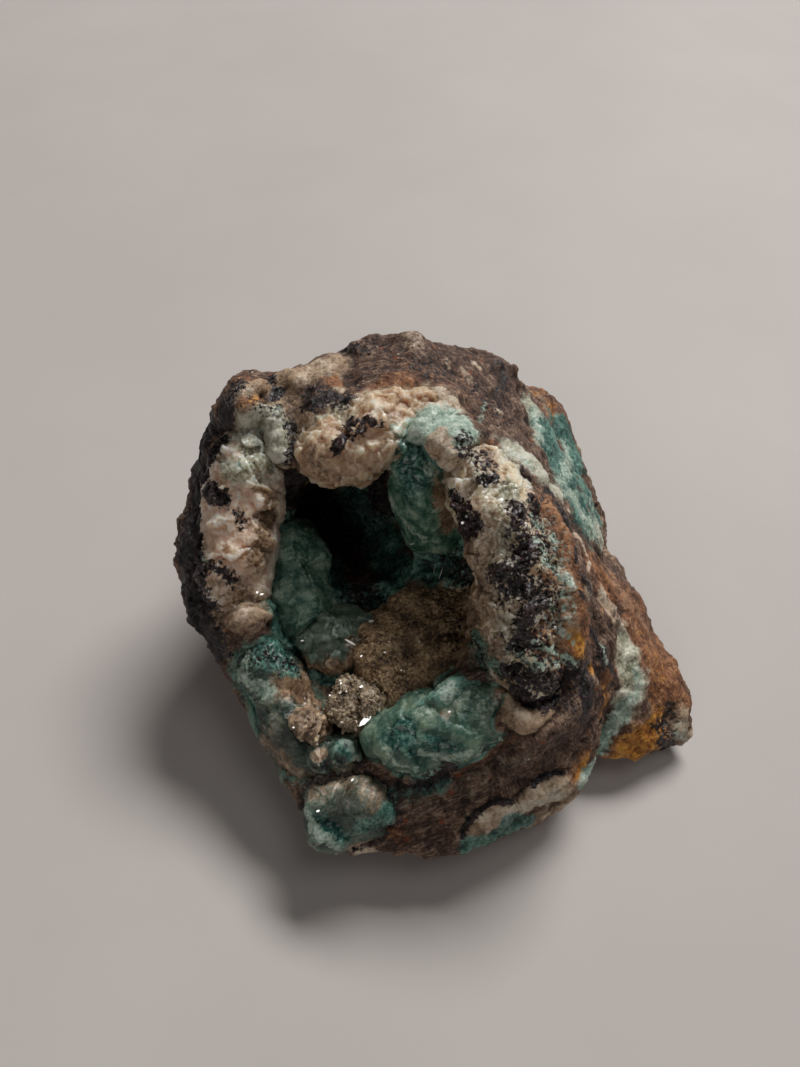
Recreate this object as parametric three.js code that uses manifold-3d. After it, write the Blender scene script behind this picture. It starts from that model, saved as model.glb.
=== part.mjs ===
// A hand-sized nodule of brown iron-oxide rock with a crystal-lined vug, in mm, +Z up.
// The rock rests on a broken flat at Z = 0, and its vug opens upwards and towards -Y.
// Every piece grew where it is: the host rock is one solid, and each growth of one mineral
// in the vug is one solid that sits in its own seat in the rock.
import * as THREE from "three";
import { ConvexGeometry } from "three/addons/geometries/ConvexGeometry.js";
import { ImprovedNoise } from "three/addons/math/ImprovedNoise.js";
import { mergeVertices } from "three/addons/utils/BufferGeometryUtils.js";
import Module from "manifold-3d";

const wasm = await Module();
wasm.setup();

// ---- Driving dimensions, mm ----

const SEAT_GAP = 0.3; // between a growth and whatever it grew against
const RESTING_PLANE = 0; // height of the flat that the nodule rests on
const UNDERCUT = 6; // how far a chunk's corners run below the resting plane before it is cut
const BUMP_COARSE = { height: 0.9, length: 9 }; // knobs and hollows of the broken rock
const BUMP_FINE = { height: 0.35, length: 3.6 };
const LUMP_BUMP = { height: 1.1, length: 4.8 }; // the knobbly skin of a growth
const BLUNTNESS = 4; // how square the ends of a growth are: 2 is an ellipsoid

// Corners of the three chunks that the rock is broken into. A chunk's facets join its corners.
const MAIN_CHUNK = {
  middle: [-4, -1, 15],
  sharpness: 44,
  detail: 8,
  seed: 3,
  corners: [
    // the broken top rim, left to right
    [-27.6, 20.8, 36.4],
    [-12, 26.2, 35.4],
    [-3, 31, 36.4],
    [8, 31, 32.6],
    [14, 31.4, 29.2],
    // the crest of the thick right wall
    [0, 12, 37.5],
    [3, 6.5, 37.6],
    [11, -10, 34.4],
    [14, -20, 24],
    // the shoulder where the right wall turns down to the side
    [17.8, 2, 30],
    [25, -11, 20],
    [25.4, -19, 13],
    // the front foot of the broken face
    [19, -31.4, 4],
    [5, -37.6, 5.2],
    [-6.6, -37.8, 6],
    [-16.2, -33, 7.8],
    // the overhanging left edge
    [-23.4, -17.4, 12.6],
    [-38, 0, 18.2],
    [-32.6, -8.6, 14.8],
    [-30.6, 10, 27.4],
    // the undercut left and the back
    [-31, 12, 12],
    [-25, 24, 12],
    [-8, 34, 12],
    [12, 35, 12],
    [28, 14, 12],
    // below the resting plane
    [-7, -18.5, -UNDERCUT],
    [10, -20.5, -UNDERCUT],
    [22, -12, -UNDERCUT],
    [24, 10, -UNDERCUT],
    [12, 26, -UNDERCUT],
    [-8, 24, -UNDERCUT],
    [-15.5, 11, -UNDERCUT],
    [-14.5, -5, -UNDERCUT],
  ],
};
const FOOT_CHUNK = {
  middle: [26, -6, 5],
  sharpness: 18,
  detail: 4,
  seed: 11,
  corners: [
    [40, -18.6, 5],
    [38.4, -14.2, 7],
    [37, -22.4, 2.6],
    [32.8, -3.4, 5.4],
    [30.4, -24.6, 4],
    [22, -25.2, 6],
    [22, -8, 20],
    [25.4, 4, 15],
    [31.6, 5, 5.6],
    [30, 12, 6.6],
    [20, 14, 14],
    [30, -11, -UNDERCUT],
    [24, -13, -UNDERCUT],
    [27, 6, -UNDERCUT],
    [12, -10, -UNDERCUT],
  ],
};
const BACK_CHUNK = {
  middle: [17, 26, 7],
  sharpness: 14,
  detail: 4,
  seed: 23,
  corners: [
    [18.5, 39.6, 17.4],
    [24.2, 38, 15.4],
    [26.2, 29.4, 12.4],
    [27.6, 22, 9.6],
    [31.2, 12.6, 7.2],
    [8, 38, 15],
    [2, 33, 20],
    [14, 26, 24],
    [22, 10, 16],
    [20, 31, -UNDERCUT],
    [7, 31, -UNDERCUT],
    [26, 14, -UNDERCUT],
    [30, 5, 7],
    [14, 8, -UNDERCUT],
  ],
};

// The vug: a bowl in the broken face, its low ledge towards the front left, and the deep
// pocket that runs back under the top rim.
const VUG = [
  { at: [-8.5, -5, 26.5], size: [17.5, 19.5, 16.5], lean: 0.42, seed: 31, detail: 4 },
  { at: [-14.5, -20.5, 21.5], size: [10.5, 11.5, 10], lean: 0, seed: 41, detail: 4 },
  { at: [-11.5, 9, 16.5], size: [12, 11, 11], lean: -0.25, seed: 37, detail: 3 },
];

// Hollows knocked out of the outside of the rock.
const KNOCKED_OUT = [
  { at: [-18.6, 27.4, 41.5], size: [8, 8, 8.2], seed: 47, detail: 2 },
  { at: [-39.6, -8.6, 13], size: [7, 7, 6], seed: 53, detail: 2 },
  { at: [34.6, -22.4, 12.4], size: [7, 6, 6.4], seed: 59, detail: 2 },
];

// Knobs that stand out of the rock.
const KNOBS = [
  { at: [-23.2, 17, 31], size: [4.4, 5, 6.4], seed: 61, detail: 2 },
  { at: [8.6, 26, 27.4], size: [6.4, 5.6, 5], seed: 67, detail: 2 },
];

// Each growth swells along a spine, from its first point to its last. Its half-widths are
// measured level across the spine and upright from it, at the middle of its length. detail is
// how finely its skin is divided.
const GROWTHS = [
  {
    name: "cream_rim_lobes",
    colour: 0xb9a58c,
    roughness: 0.55,
    spine: [
      [-16.8, 11, 32.2],
      [-12, 9, 33.2],
      [-6.4, 11.4, 34.2],
      [0.6, 16.6, 33.8],
    ],
    across: 4.8,
    upright: 4,
    detail: 3,
  },
  {
    name: "left_rim_crust",
    colour: 0xa79a88,
    roughness: 0.5,
    spine: [
      [-20.6, 17, 32.4],
      [-24.8, 9.6, 29.2],
      [-26, 1, 23.2],
      [-26, -8.2, 17.4],
    ],
    across: 5.4,
    upright: 5,
    detail: 3,
  },
  {
    name: "right_rim_crust",
    colour: 0x9d9a86,
    roughness: 0.5,
    spine: [
      [4.2, 9.4, 33],
      [7.2, 1.6, 33.4],
      [9.8, -7, 30.6],
      [11.4, -15.4, 24.4],
      [14, -22.2, 17.4],
    ],
    across: 5,
    upright: 4.6,
    detail: 3,
  },
  {
    name: "hanging_teal_curtain",
    colour: 0x4f8d7e,
    roughness: 0.45,
    spine: [
      [-1.6, 11.6, 34.6],
      [-1, 8.2, 30],
      [0.2, 6, 24.4],
      [1.4, 5, 16.8],
    ],
    across: 4.6,
    upright: 4.8,
    detail: 3,
  },
  {
    name: "front_teal_bank",
    colour: 0x4b8f84,
    roughness: 0.45,
    spine: [
      [-8, -25.2, 13.2],
      [-2.4, -23.3, 15.6],
      [4.6, -21.7, 17.4],
      [11.4, -20.1, 16.6],
    ],
    across: 4.3,
    upright: 4.2,
    detail: 3,
  },
  {
    name: "lower_left_rim",
    colour: 0x5f9c8d,
    roughness: 0.45,
    spine: [
      [-23.6, -10.4, 15],
      [-20.6, -15.8, 12.8],
      [-17.2, -22.2, 10.2],
      [-13.8, -27.2, 8.8],
    ],
    across: 4,
    upright: 4,
    detail: 3,
  },
  {
    name: "left_teal_wall",
    colour: 0x2f6a5c,
    roughness: 0.5,
    spine: [
      [-20.6, 7, 18.8],
      [-19, -2, 14.6],
      [-17, -9.2, 12.6],
    ],
    across: 5,
    upright: 5.2,
    detail: 3,
  },
  {
    name: "teal_toe_lobe",
    colour: 0x6c9c92,
    roughness: 0.45,
    spine: [
      [-15.9, -30.8, 8.2],
      [-10, -31.4, 9.2],
      [-4.6, -29.8, 10.8],
    ],
    across: 3.6,
    upright: 3.8,
    detail: 3,
  },
  {
    name: "tan_vug_floor",
    colour: 0x8b7459,
    roughness: 0.5,
    spine: [
      [-9.6, -13.4, 12.8],
      [1, -11, 13.8],
      [13, -8.2, 13.2],
    ],
    across: 9,
    upright: 4.4,
    detail: 3,
  },
  {
    name: "grey_green_block",
    colour: 0x5d7468,
    roughness: 0.5,
    spine: [
      [-16, -11.2, 12.6],
      [-13.2, -9.6, 14],
      [-10, -6.4, 12.8],
    ],
    across: 4.6,
    upright: 3.2,
    detail: 3,
  },
  {
    name: "pale_crystal_cluster",
    colour: 0xa0917b,
    roughness: 0.35,
    spine: [
      [-13, -18, 14.4],
      [-10.4, -19.6, 15.4],
      [-7.4, -21.6, 15.2],
    ],
    across: 3,
    upright: 2.2,
    detail: 2,
  },
  {
    name: "tan_rosette",
    colour: 0xa78c70,
    roughness: 0.35,
    spine: [
      [-18.6, -21.4, 12.8],
      [-16, -21.8, 13.8],
      [-13.4, -22.8, 13.6],
    ],
    across: 2.3,
    upright: 2.2,
    detail: 2,
  },
  {
    name: "teal_bead",
    colour: 0x5b9284,
    roughness: 0.35,
    spine: [
      [-15, -25.2, 12],
      [-12.6, -25.2, 13],
      [-10, -25.4, 13],
    ],
    across: 1.9,
    upright: 1.9,
    detail: 2,
  },
];

// ---- Solids from three.js geometry ----

const noise = new ImprovedNoise();

function bump(point, { height, length }, seed) {
  const shift = seed * 7.31;
  return (
    height *
    noise.noise(point.x / length + shift, point.y / length - shift, point.z / length + shift)
  );
}

function solidOf(geometry) {
  const bare = geometry.clone();
  for (const name of ["normal", "uv"]) bare.deleteAttribute(name);
  const merged = mergeVertices(bare, 1e-4);
  return new wasm.Manifold(
    new wasm.Mesh({
      numProp: 3,
      vertProperties: new Float32Array(merged.getAttribute("position").array),
      triVerts: new Uint32Array(merged.index.array),
    }),
  );
}

function geometryOf(solid) {
  const { numVert, numProp, vertProperties, triVerts } = solid.getMesh();
  const points = new Float32Array(numVert * 3);
  for (let i = 0; i < numVert; i++)
    points.set(vertProperties.subarray(i * numProp, i * numProp + 3), i * 3);
  const geometry = new THREE.BufferGeometry();
  geometry.setAttribute("position", new THREE.BufferAttribute(points, 3));
  geometry.setIndex(new THREE.BufferAttribute(new Uint32Array(triVerts), 1));
  geometry.computeVertexNormals();
  return geometry;
}

// A ball of triangles whose every point is moved out to the distance that reach(direction) gives.
function starSolid(middle, detail, reach) {
  const geometry = new THREE.IcosahedronGeometry(1, detail);
  const position = geometry.getAttribute("position");
  const direction = new THREE.Vector3();
  for (let i = 0; i < position.count; i++) {
    direction.fromBufferAttribute(position, i).normalize();
    const out = direction.clone().multiplyScalar(reach(direction));
    position.setXYZ(i, middle.x + out.x, middle.y + out.y, middle.z + out.z);
  }
  return solidOf(geometry);
}

// The planes of a convex body's facets, each as a unit normal and its distance from the middle.
function facetPlanes(corners, middle) {
  const hull = new ConvexGeometry(corners).getAttribute("position");
  const planes = [];
  const [a, b, c] = [new THREE.Vector3(), new THREE.Vector3(), new THREE.Vector3()];
  for (let i = 0; i < hull.count; i += 3) {
    a.fromBufferAttribute(hull, i);
    b.fromBufferAttribute(hull, i + 1);
    c.fromBufferAttribute(hull, i + 2);
    const normal = b.clone().sub(a).cross(c.clone().sub(a)).normalize();
    const away = normal.dot(a.clone().sub(middle));
    const known = planes.some((p) => p.normal.dot(normal) > 0.999 && Math.abs(p.away - away) < 0.05);
    if (!known) planes.push({ normal, away });
  }
  return planes;
}

// A chunk of broken rock: flat facets between its corners, edges worn round, the surface knobbly.
function chunk({ middle, sharpness, detail, seed, corners }) {
  const centre = new THREE.Vector3(...middle);
  const planes = facetPlanes(
    corners.map((corner) => new THREE.Vector3(...corner)),
    centre,
  );
  return starSolid(centre, detail, (direction) => {
    let gauge = 0;
    for (const { normal, away } of planes)
      gauge += Math.max(0, normal.dot(direction) / away) ** sharpness;
    const smooth = gauge ** (-1 / sharpness);
    const point = direction.clone().multiplyScalar(smooth).add(centre);
    return smooth + bump(point, BUMP_COARSE, seed) + bump(point, BUMP_FINE, seed + 1);
  });
}

// An ellipsoid with a knobbly skin, tipped about X by lean and grown outwards by extra.
function lump({ at, size, lean = 0, seed, detail, extra = 0 }) {
  const centre = new THREE.Vector3(...at);
  const tip = new THREE.Matrix4().makeRotationX(-lean);
  return starSolid(centre, detail, (direction) => {
    const local = direction.clone().applyMatrix4(tip);
    const [rx, ry, rz] = size;
    const smooth = 1 / Math.hypot(local.x / rx, local.y / ry, local.z / rz);
    const point = direction.clone().multiplyScalar(smooth).add(centre);
    return smooth + bump(point, LUMP_BUMP, seed) + extra;
  });
}

// A growth: a ball of triangles stretched along a spine, blunt at both ends, with a knobbly
// skin. extra moves the whole skin outwards.
function growthSolid({ spine, across, upright, detail }, seed, extra) {
  const curve = new THREE.CatmullRomCurve3(spine.map((point) => new THREE.Vector3(...point)));
  const geometry = new THREE.IcosahedronGeometry(1, detail);
  const position = geometry.getAttribute("position");
  const unit = new THREE.Vector3();
  for (let i = 0; i < position.count; i++) {
    unit.fromBufferAttribute(position, i).normalize();
    const along = THREE.MathUtils.clamp((unit.x + 1) / 2, 0, 1);
    const middle = curve.getPointAt(along);
    const tangent = curve.getTangentAt(along);
    const side = new THREE.Vector3(-tangent.y, tangent.x, 0).normalize();
    const up = tangent.clone().cross(side);
    const round = Math.hypot(unit.y, unit.z) || 1;
    const [y, z] = [unit.y / round, unit.z / round];
    const blunt = Math.max(0, 1 - Math.abs(unit.x) ** BLUNTNESS) ** 0.5;
    const ring = side.multiplyScalar(y).addScaledVector(up, z);
    const reach = blunt / (Math.hypot(y / across, z / upright) || 1);
    const skin = ring.clone().multiplyScalar(round).addScaledVector(tangent, unit.x);
    const point = middle.clone().addScaledVector(ring, reach);
    point.addScaledVector(skin.normalize(), bump(point, LUMP_BUMP, seed) + extra);
    position.setXYZ(i, point.x, point.y, point.z);
  }
  return solidOf(geometry);
}

const joined = (solids) => solids.reduce((sum, solid) => sum.add(solid));

// ---- The pieces ----

function belowRestingPlane() {
  const depth = 40;
  const box = new THREE.BoxGeometry(200, 200, depth);
  box.translate(0, 0, RESTING_PLANE - depth / 2);
  return solidOf(box);
}

const largest = (solid) =>
  solid.decompose().reduce((best, body) => (body.volume() > best.volume() ? body : best));

function buildSolids() {
  const ground = belowRestingPlane();
  const lumps = (places) => joined(places.map((place) => lump(place)));
  const solids = new Map();
  let rock = joined([MAIN_CHUNK, FOOT_CHUNK, BACK_CHUNK].map(chunk));
  rock = rock.subtract(lumps(KNOCKED_OUT)).add(lumps(KNOBS)).subtract(lumps(VUG));
  let taken = null;
  GROWTHS.forEach((growth, i) => {
    const seed = 101 + i;
    const whole = growthSolid(growth, seed, 0);
    const seat = growthSolid(growth, seed, SEAT_GAP);
    solids.set(growth.name, largest(taken ? whole.subtract(taken) : whole));
    taken = taken ? taken.add(seat) : seat;
  });
  rock = rock.subtract(taken).subtract(ground);
  solids.set("host_rock", largest(rock));
  return solids;
}

function mineral(colour, roughness) {
  return new THREE.MeshStandardMaterial({ color: colour, roughness, metalness: 0 });
}

function buildNodule() {
  const nodule = new THREE.Group();
  nodule.name = "nodule";
  const solids = buildSolids();
  const finishes = new Map(GROWTHS.map((g) => [g.name, mineral(g.colour, g.roughness)]));
  finishes.set("host_rock", mineral(0x6b5547, 0.85));
  for (const [name, solid] of solids) {
    const mesh = new THREE.Mesh(geometryOf(solid), finishes.get(name));
    mesh.name = name;
    nodule.add(mesh);
  }
  return nodule;
}

export default buildNodule();
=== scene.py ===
"""An aurichalcite nodule: brown iron-oxide rock with a vug lined by teal, cream and tan crusts.

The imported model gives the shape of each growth. This script gives each one its own fine relief,
its minerals and its small crystals. Lengths are in millimetres until a mesh is made.
"""

import logging
import math
from collections.abc import Iterator
from dataclasses import asdict, dataclass, replace
from enum import Enum

import bmesh
import bpy
import numpy as np
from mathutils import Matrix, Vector
from mathutils.bvhtree import BVHTree


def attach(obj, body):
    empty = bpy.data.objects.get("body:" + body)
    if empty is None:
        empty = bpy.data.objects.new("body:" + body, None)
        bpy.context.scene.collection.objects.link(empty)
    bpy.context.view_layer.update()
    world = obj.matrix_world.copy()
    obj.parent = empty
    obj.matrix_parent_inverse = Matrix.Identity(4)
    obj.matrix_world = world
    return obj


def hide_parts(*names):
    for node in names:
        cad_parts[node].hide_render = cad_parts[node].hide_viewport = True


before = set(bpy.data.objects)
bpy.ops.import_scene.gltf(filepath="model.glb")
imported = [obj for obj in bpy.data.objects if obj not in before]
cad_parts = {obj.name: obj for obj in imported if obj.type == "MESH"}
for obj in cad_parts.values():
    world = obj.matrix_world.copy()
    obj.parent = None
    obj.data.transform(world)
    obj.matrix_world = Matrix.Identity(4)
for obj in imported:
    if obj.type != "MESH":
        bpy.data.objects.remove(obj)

LOG = logging.getLogger("nodule")

MM = 0.001
Point = tuple[float, float, float]
Sizes = tuple[tuple[float, float], ...]
Inputs = dict[int | str, object]


class Mineral(Enum):
    """A mineral that coats the rock or a growth. The value names its vertex attribute."""

    RUST = "rust"
    OCHRE = "ochre"
    TAN = "tan"
    CREAM = "cream"
    MIST = "mist"
    TEAL = "teal"
    PALE = "pale"
    # Dark mineral grains, and painted shade where its strokes lie in grooves, hollows and on faces turned from
    # the lamp.
    DARK = "dark"


class Ground(Enum):
    """Which pieces a stroke of mineral lies on."""

    HOST = "host"
    GROWTH = "growth"
    ALL = "all"


RUST, OCHRE, TAN, CREAM, MIST, TEAL, PALE, DARK = Mineral
HOST, GROWTH, ALL = Ground


@dataclass(frozen=True)
class Stroke:
    """A streak or spot of one mineral, laid along a path.

    Args:
        mineral: what it is made of, or, for many dark strokes, the shade that they paint.
        ground: the pieces that it lies on.
        reach: how far it spreads from its path.
        strength: how much of it there is on the path, up to 1.
        path: the points that it follows.
    """

    mineral: Mineral
    ground: Ground
    reach: float
    strength: float
    path: tuple[Point, ...]


@dataclass(frozen=True)
class Carving:
    """A groove or ridge in the rock.

    Args:
        reach: how far it spreads from its path.
        push: how far it moves the surface outwards.
        path: the points that it follows.
    """

    reach: float
    push: float
    path: tuple[Point, ...]


def read_paths(table: str) -> list[tuple[float, float, tuple[Point, ...]]]:
    """Read paths that are written as words.

    Args:
        table: for each path a reach:amount word, then an x,y,z word a point, in tenths.

    Returns:
        Each path's reach, its amount and its points.
    """
    found = []
    for word in table.split():
        if ":" in word:
            found.append((*map(float, word.split(":")), []))
        else:
            found[-1][2].append(tuple(int(part) / 10 for part in word.split(",")))
    return [(reach, amount, tuple(points)) for reach, amount, points in found]


# For each mineral and ground, the reach:strength and the path of every stroke.
LAID = {
    (RUST, HOST): """
    3:0.3 -204,109,357 -199,93,343 -197,78,329 3.4:0.6 -250,169,392 -229,158,384 -220,139,378 -241,118,377
    2:0.9 -250,169,392 -234,167,387 -222,162,381 2.4:0.6 -249,126,383 -234,131,382 -222,134,379 1.6:0.85
    -139,186,372 -127,172,370 3.4:0.8 -78,133,388 -52,153,378 -33,162,377 6:0.3 -39,214,371 15,172,374
    84,154,336 2.4:0.42 37,220,343 57,176,348 78,151,339 2:0.4 2,182,379 14,160,378 1.3:0.6 77,75,359
    94,56,358 112,29,355 3.4:0.7 46,9,184 56,-64,197 61,-150,245 1.6:0.6 222,-17,223 230,-62,219
    223,-118,238 1.5:0.7 227,-166,176 238,-176,142 227,-195,126 2:0.4 173,-84,326 190,-114,281 205,-139,224
    5:0.85 230,-35,227 279,-15,141 305,-55,124 336,-88,94 348,-133,91 5:1 290,-100,132 315,-128,112
    346,-152,85 4.2:0.9 308,-197,68 280,-221,54 246,-229,53 2.2:0.7 202,-249,109 189,-271,95 178,-288,101
    3.4:0.6 194,364,169 203,328,177 204,286,184 1.3:0.6 38,-279,153 65,-267,167 92,-254,180 1.4:0.75
    -59,-340,91 -46,-337,97 -39,-344,87 4:0.7 -204,72,307 -199,54,273 8:0.5 -200,250,120 -50,320,160 7:0.5
    310,240,100 250,320,140""",
    (RUST, GROWTH): """
    2.6:0.4 -232,-12,277 -221,-17,262 -225,-33,257 2.6:0.42 -267,-86,208 -251,-107,208 -274,-114,176 3:0.6
    38,-44,318 59,-13,191 56,-127,280 67,-174,266 1.6:0.36 17,35,355 24,16,355""",
    (RUST, ALL): """
    5:0.9 137,-37,344 153,-81,322 152,-137,299 142,-182,271 3.6:0.9 156,-49,340 170,-107,317 178,-152,276
    2.6:0.4 89,-204,217 105,-239,226 134,-239,221 2:0.36 -176,-159,160 -157,-166,132 2.2:0.5 52,61,379
    66,48,372 77,25,372""",
    (OCHRE, HOST): """
    1:0.85 -227,139,381 -220,144,377 1:0.62 -246,120,379 -233,122,380 -224,127,378 0.7:0.6 -207,167,376
    -200,186,360 1:0.6 -223,146,378 -231,127,382 -244,117,378 1:0.42 -237,166,387 -226,158,384 0.8:0.6
    -136,191,371 -128,185,369 0.9:0.7 228,-174,163 237,-187,126 4:0.3 304,-89,128 327,-121,104 307,-165,97
    3:1 317,-190,71 298,-206,68 280,-217,58 1.4:0.6 273,-224,56 259,-228,43 1.3:0.7 205,-248,107 195,-264,92
    185,-286,93 3:0.5 190,337,182 205,320,176 209,292,178 4:0.5 -100,330,80 0,360,80""",
    (OCHRE, GROWTH): """
    1.5:0.3 18,59,389 31,52,382 33,35,375""",
    (OCHRE, ALL): """
    2.6:0.3 -272,-93,199 -248,-106,210 1.3:0.85 168,-155,277 179,-172,262 197,-173,214""",
    (TAN, HOST): """
    1.8:0.8 -286,-101,191 -277,-115,173 -272,-125,163 3.6:0.9 -282,-81,214 -257,-92,213 -232,-84,210 1.8:0.8
    -250,138,386 -236,149,382 -219,156,376 1.3:0.8 -219,163,379 -207,180,363 -197,186,361 2.8:1 -196,178,357
    -156,194,368 -122,224,362 3.6:0.85 -195,151,370 -184,138,364 -184,122,354 1.8:0.6 -12,138,378 22,138,375
    3:0.6 17,38,348 24,0,335 38,19,242 3.4:0.8 45,19,218 58,-28,188 56,-138,275 1.9:1 91,-234,220
    98,-245,218 117,-249,221 3:0.8 262,-99,147 274,-119,139 275,-159,117 3.6:0.36 269,10,138 293,-37,139
    324,-67,98 1.8:0.5 289,-171,110 281,-188,95 3.2:0.7 346,-176,66 359,-196,57 374,-203,30 1.8:0.6
    193,333,181 201,296,187 3:0.4 269,167,115 289,130,84 286,70,101 2.6:1 188,-287,73 160,-291,111
    138,-301,118 124,-312,103 94,-323,116 71,-329,113 54,-340,97 2.4:1 182,-294,60 156,-308,63 130,-322,70
    1.8:0.9 139,-287,121 161,-282,116 4.5:0.95 -181,-153,165 -159,-168,136 -129,-194,164 -102,-207,174 4:0.7
    -84,-142,173 -60,-170,172 -59,-195,165 3.4:0.45 -212,-235,116 -190,-259,108 -162,-278,109 3:0.5
    -167,-262,123 -146,-276,126 -115,-274,136 6:0.45 -140,280,240 -20,330,200 5:0.5 -330,-60,100 -340,20,120""",
    (TAN, GROWTH): """
    2.4:0.75 -221,45,306 -212,37,287 -215,18,267 2.6:0.7 -223,15,271 -216,-11,262 -225,-37,254 3.6:0.6
    -255,-72,226 -236,-93,215 -267,-108,188 3:0.5 -158,58,359 -139,44,333 -109,46,318 2.4:0.4 -138,71,368
    -127,53,369 2.6:0.75 11,41,371 18,27,321 23,21,263 4:0.85 42,-53,332 54,-88,309 63,-133,290 71,-174,271
    3.6:0.5 -215,-233,117 -196,-255,103 -173,-278,102 4.6:0.42 -142,-298,124 -115,-284,128 -86,-298,149
    -71,-315,142""",
    (TAN, ALL): """
    0.8:0.9 -288,97,318 -280,79,323 0.7:0.8 -344,16,228 -329,15,248 3:0.5 62,58,372 78,30,373 4.4:0.4
    123,-72,351 136,-105,337 138,-147,292 2.6:0.5 97,-141,319 94,-171,286 2:0.55 149,-84,326 159,-119,314
    164,-147,292 1.8:1 79,-198,246 86,-211,221 98,-233,224 114,-247,222 129,-242,221 143,-227,217 3.6:0.8
    -183,-157,169 -169,-169,144 -153,-181,132 2.6:0.62 -167,-131,138 -144,-140,146 -122,-145,155 1.6:0.6
    -106,-109,167 -106,-135,158 -99,-159,161""",
    (CREAM, HOST): """
    2.6:0.5 -271,-81,216 -240,-92,218 0.8:0.6 -253,139,384 -240,140,384 0.6:0.8 -249,147,384 -236,146,381
    2.6:0.5 -174,184,366 -151,199,367 -124,247,344 0.7:0.7 -126,158,377 -118,149,375 -113,164,375 2.6:0.42
    -30,272,370 -19,246,371 0.8:0.5 23,236,354 29,221,350 1:0.55 46,227,344 57,208,340 1.1:0.6 68,249,335
    73,245,330 0.9:0.7 93,162,332 99,156,330 3.2:0.95 -56,89,385 -28,114,385 1,135,374 24,128,374 3.4:0.95
    21,44,383 24,16,355 26,-18,338 3:1 -1,69,382 9,45,374 19,33,354 0.5:1 179,19,293 196,0,261 210,-26,236
    200,-96,290 223,-118,238 240,-149,199 0.8:1 187,-109,301 198,-111,277 2.4:0.8 265,-121,142 273,-148,124
    2.2:0.7 228,-71,223 244,-83,202 270,-85,157 1.6:0.6 217,38,231 232,30,207 2.6:0.6 166,-292,107
    141,-302,114 113,-314,104 74,-331,109 0.9:0.8 193,-286,59 173,-299,60 150,-313,63 1.2:0.7 -100,-356,74
    -74,-358,72 3:0.5 -160,270,270 -100,310,280""",
    (CREAM, GROWTH): """
    1.4:0.7 -228,-68,228 -223,-65,214 2.6:0.8 -59,96,385 -41,86,377 -49,65,367 2.6:0.6 75,-94,341
    79,-127,327 86,-164,297 2.2:0.55 51,-70,332 63,-111,302 73,-163,281 1.2:0.25 -226,-225,119 -213,-239,104
    1.4:0.8 -143,-259,144 -138,-256,144 1.4:0.3 -119,-290,131 -101,-304,143 -105,-319,137 1.2:0.25
    -85,-312,147 -73,-322,139 1.4:0.7 -101,-356,87 -79,-354,78 0.9:0.7 15,-230,211 19,-234,220 3:0.3
    -52,-117,183 -39,-129,177""",
    (CREAM, ALL): """
    0.9:0.9 -322,2,243 -299,-18,254 0.9:0.9 -287,-62,240 -274,-62,239 0.5:0.9 -155,143,370 -147,144,373
    0.4:0.9 -136,129,373 -130,132,374 4.4:1 56,-6,375 73,-30,375 79,-65,362 79,-96,344 0.9:0.8 140,-125,324
    147,-126,313 0.8:0.8 125,-119,333 133,-121,327 0.7:0.8 144,-55,335 148,-65,332 1.2:0.5 86,-201,227
    90,-220,224 102,-238,225 119,-240,223""",
    (MIST, HOST): """
    2.6:0.75 -240,114,362 -225,119,361 -207,113,360 3:0.7 -204,109,357 -199,93,343 -197,78,329 2.4:1
    98,69,351 118,57,349 141,42,339 160,47,299 3:0.8 262,-99,147 274,-119,139 278,-153,122 270,-173,108
    3:0.3 347,-180,62 359,-198,54 374,-203,30 2.4:0.8 155,232,271 160,177,283 161,141,289 3:0.6 221,82,227
    240,60,200 251,45,180 2.6:0.42 167,-293,102 138,-306,111 100,-323,108 5:0.2 -14,-310,124 36,-301,135
    98,-272,161 161,-244,169 3.4:0.3 -219,-179,161 -204,-206,154 -193,-228,146 4.5:0.5 40,360,140 120,360,90""",
    (MIST, GROWTH): """
    5:0.85 -242,113,352 -223,110,336 -227,74,333 2.2:0.8 -266,60,330 -243,51,332 3.4:0.5 -159,113,368
    -130,123,368 -112,117,371 3:0.42 75,-94,341 79,-127,327 86,-164,297 4:0.3 -225,-176,155 -204,-204,154
    -193,-228,146 3:0.2 -216,-222,131 -196,-249,109 -174,-274,104 3:0.22 -136,-302,129 -109,-291,134
    -85,-305,149""",
    (MIST, ALL): """
    3.6:0.5 61,1,374 82,-21,367 86,-68,367 79,-96,344 2.2:0.8 90,-7,368 98,-27,375 2.4:0.4 104,-200,260
    127,-210,259""",
    (TEAL, HOST): """
    1.4:0.5 -209,136,374 -202,131,371 1.2:0.7 272,-172,111 251,-206,81 230,-218,70 2.6:0.34 348,-184,64
    363,-203,38 5.6:1 183,172,258 193,130,258 197,90,254 213,56,238 3.4:0.95 229,277,161 243,250,141 4.4:1
    221,271,167 233,241,152 229,162,193 241,104,198 3.6:0.9 233,269,155 246,224,142 239,118,204 255,102,172
    1.7:1 127,-321,75 105,-330,80 83,-338,84 60,-347,78 45,-352,77 1.6:0.9 95,-329,102 118,-321,83 2:0.6
    -54,-304,127 -34,-302,130 -9,-296,133 11,-291,141 3:0.8 -45,69,84 -18,19,136 11,5,151 4:0.8 -198,-2,220
    -199,-62,193 4.4:0.7 -167,23,213 -150,72,57 -127,-17,114 6:0.8 -119,177,103 -71,119,73 -68,-4,122 4:0.7
    19,23,162 45,-15,184 3.2:0.95 -213,-132,182 -196,-148,175 -186,-136,161 3.4:0.5 53,-144,244 65,-167,237
    74,-190,232 3.4:1 -2,-173,166 12,-203,227 29,-208,226 4:0.6 -270,150,190 -220,200,220""",
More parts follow.
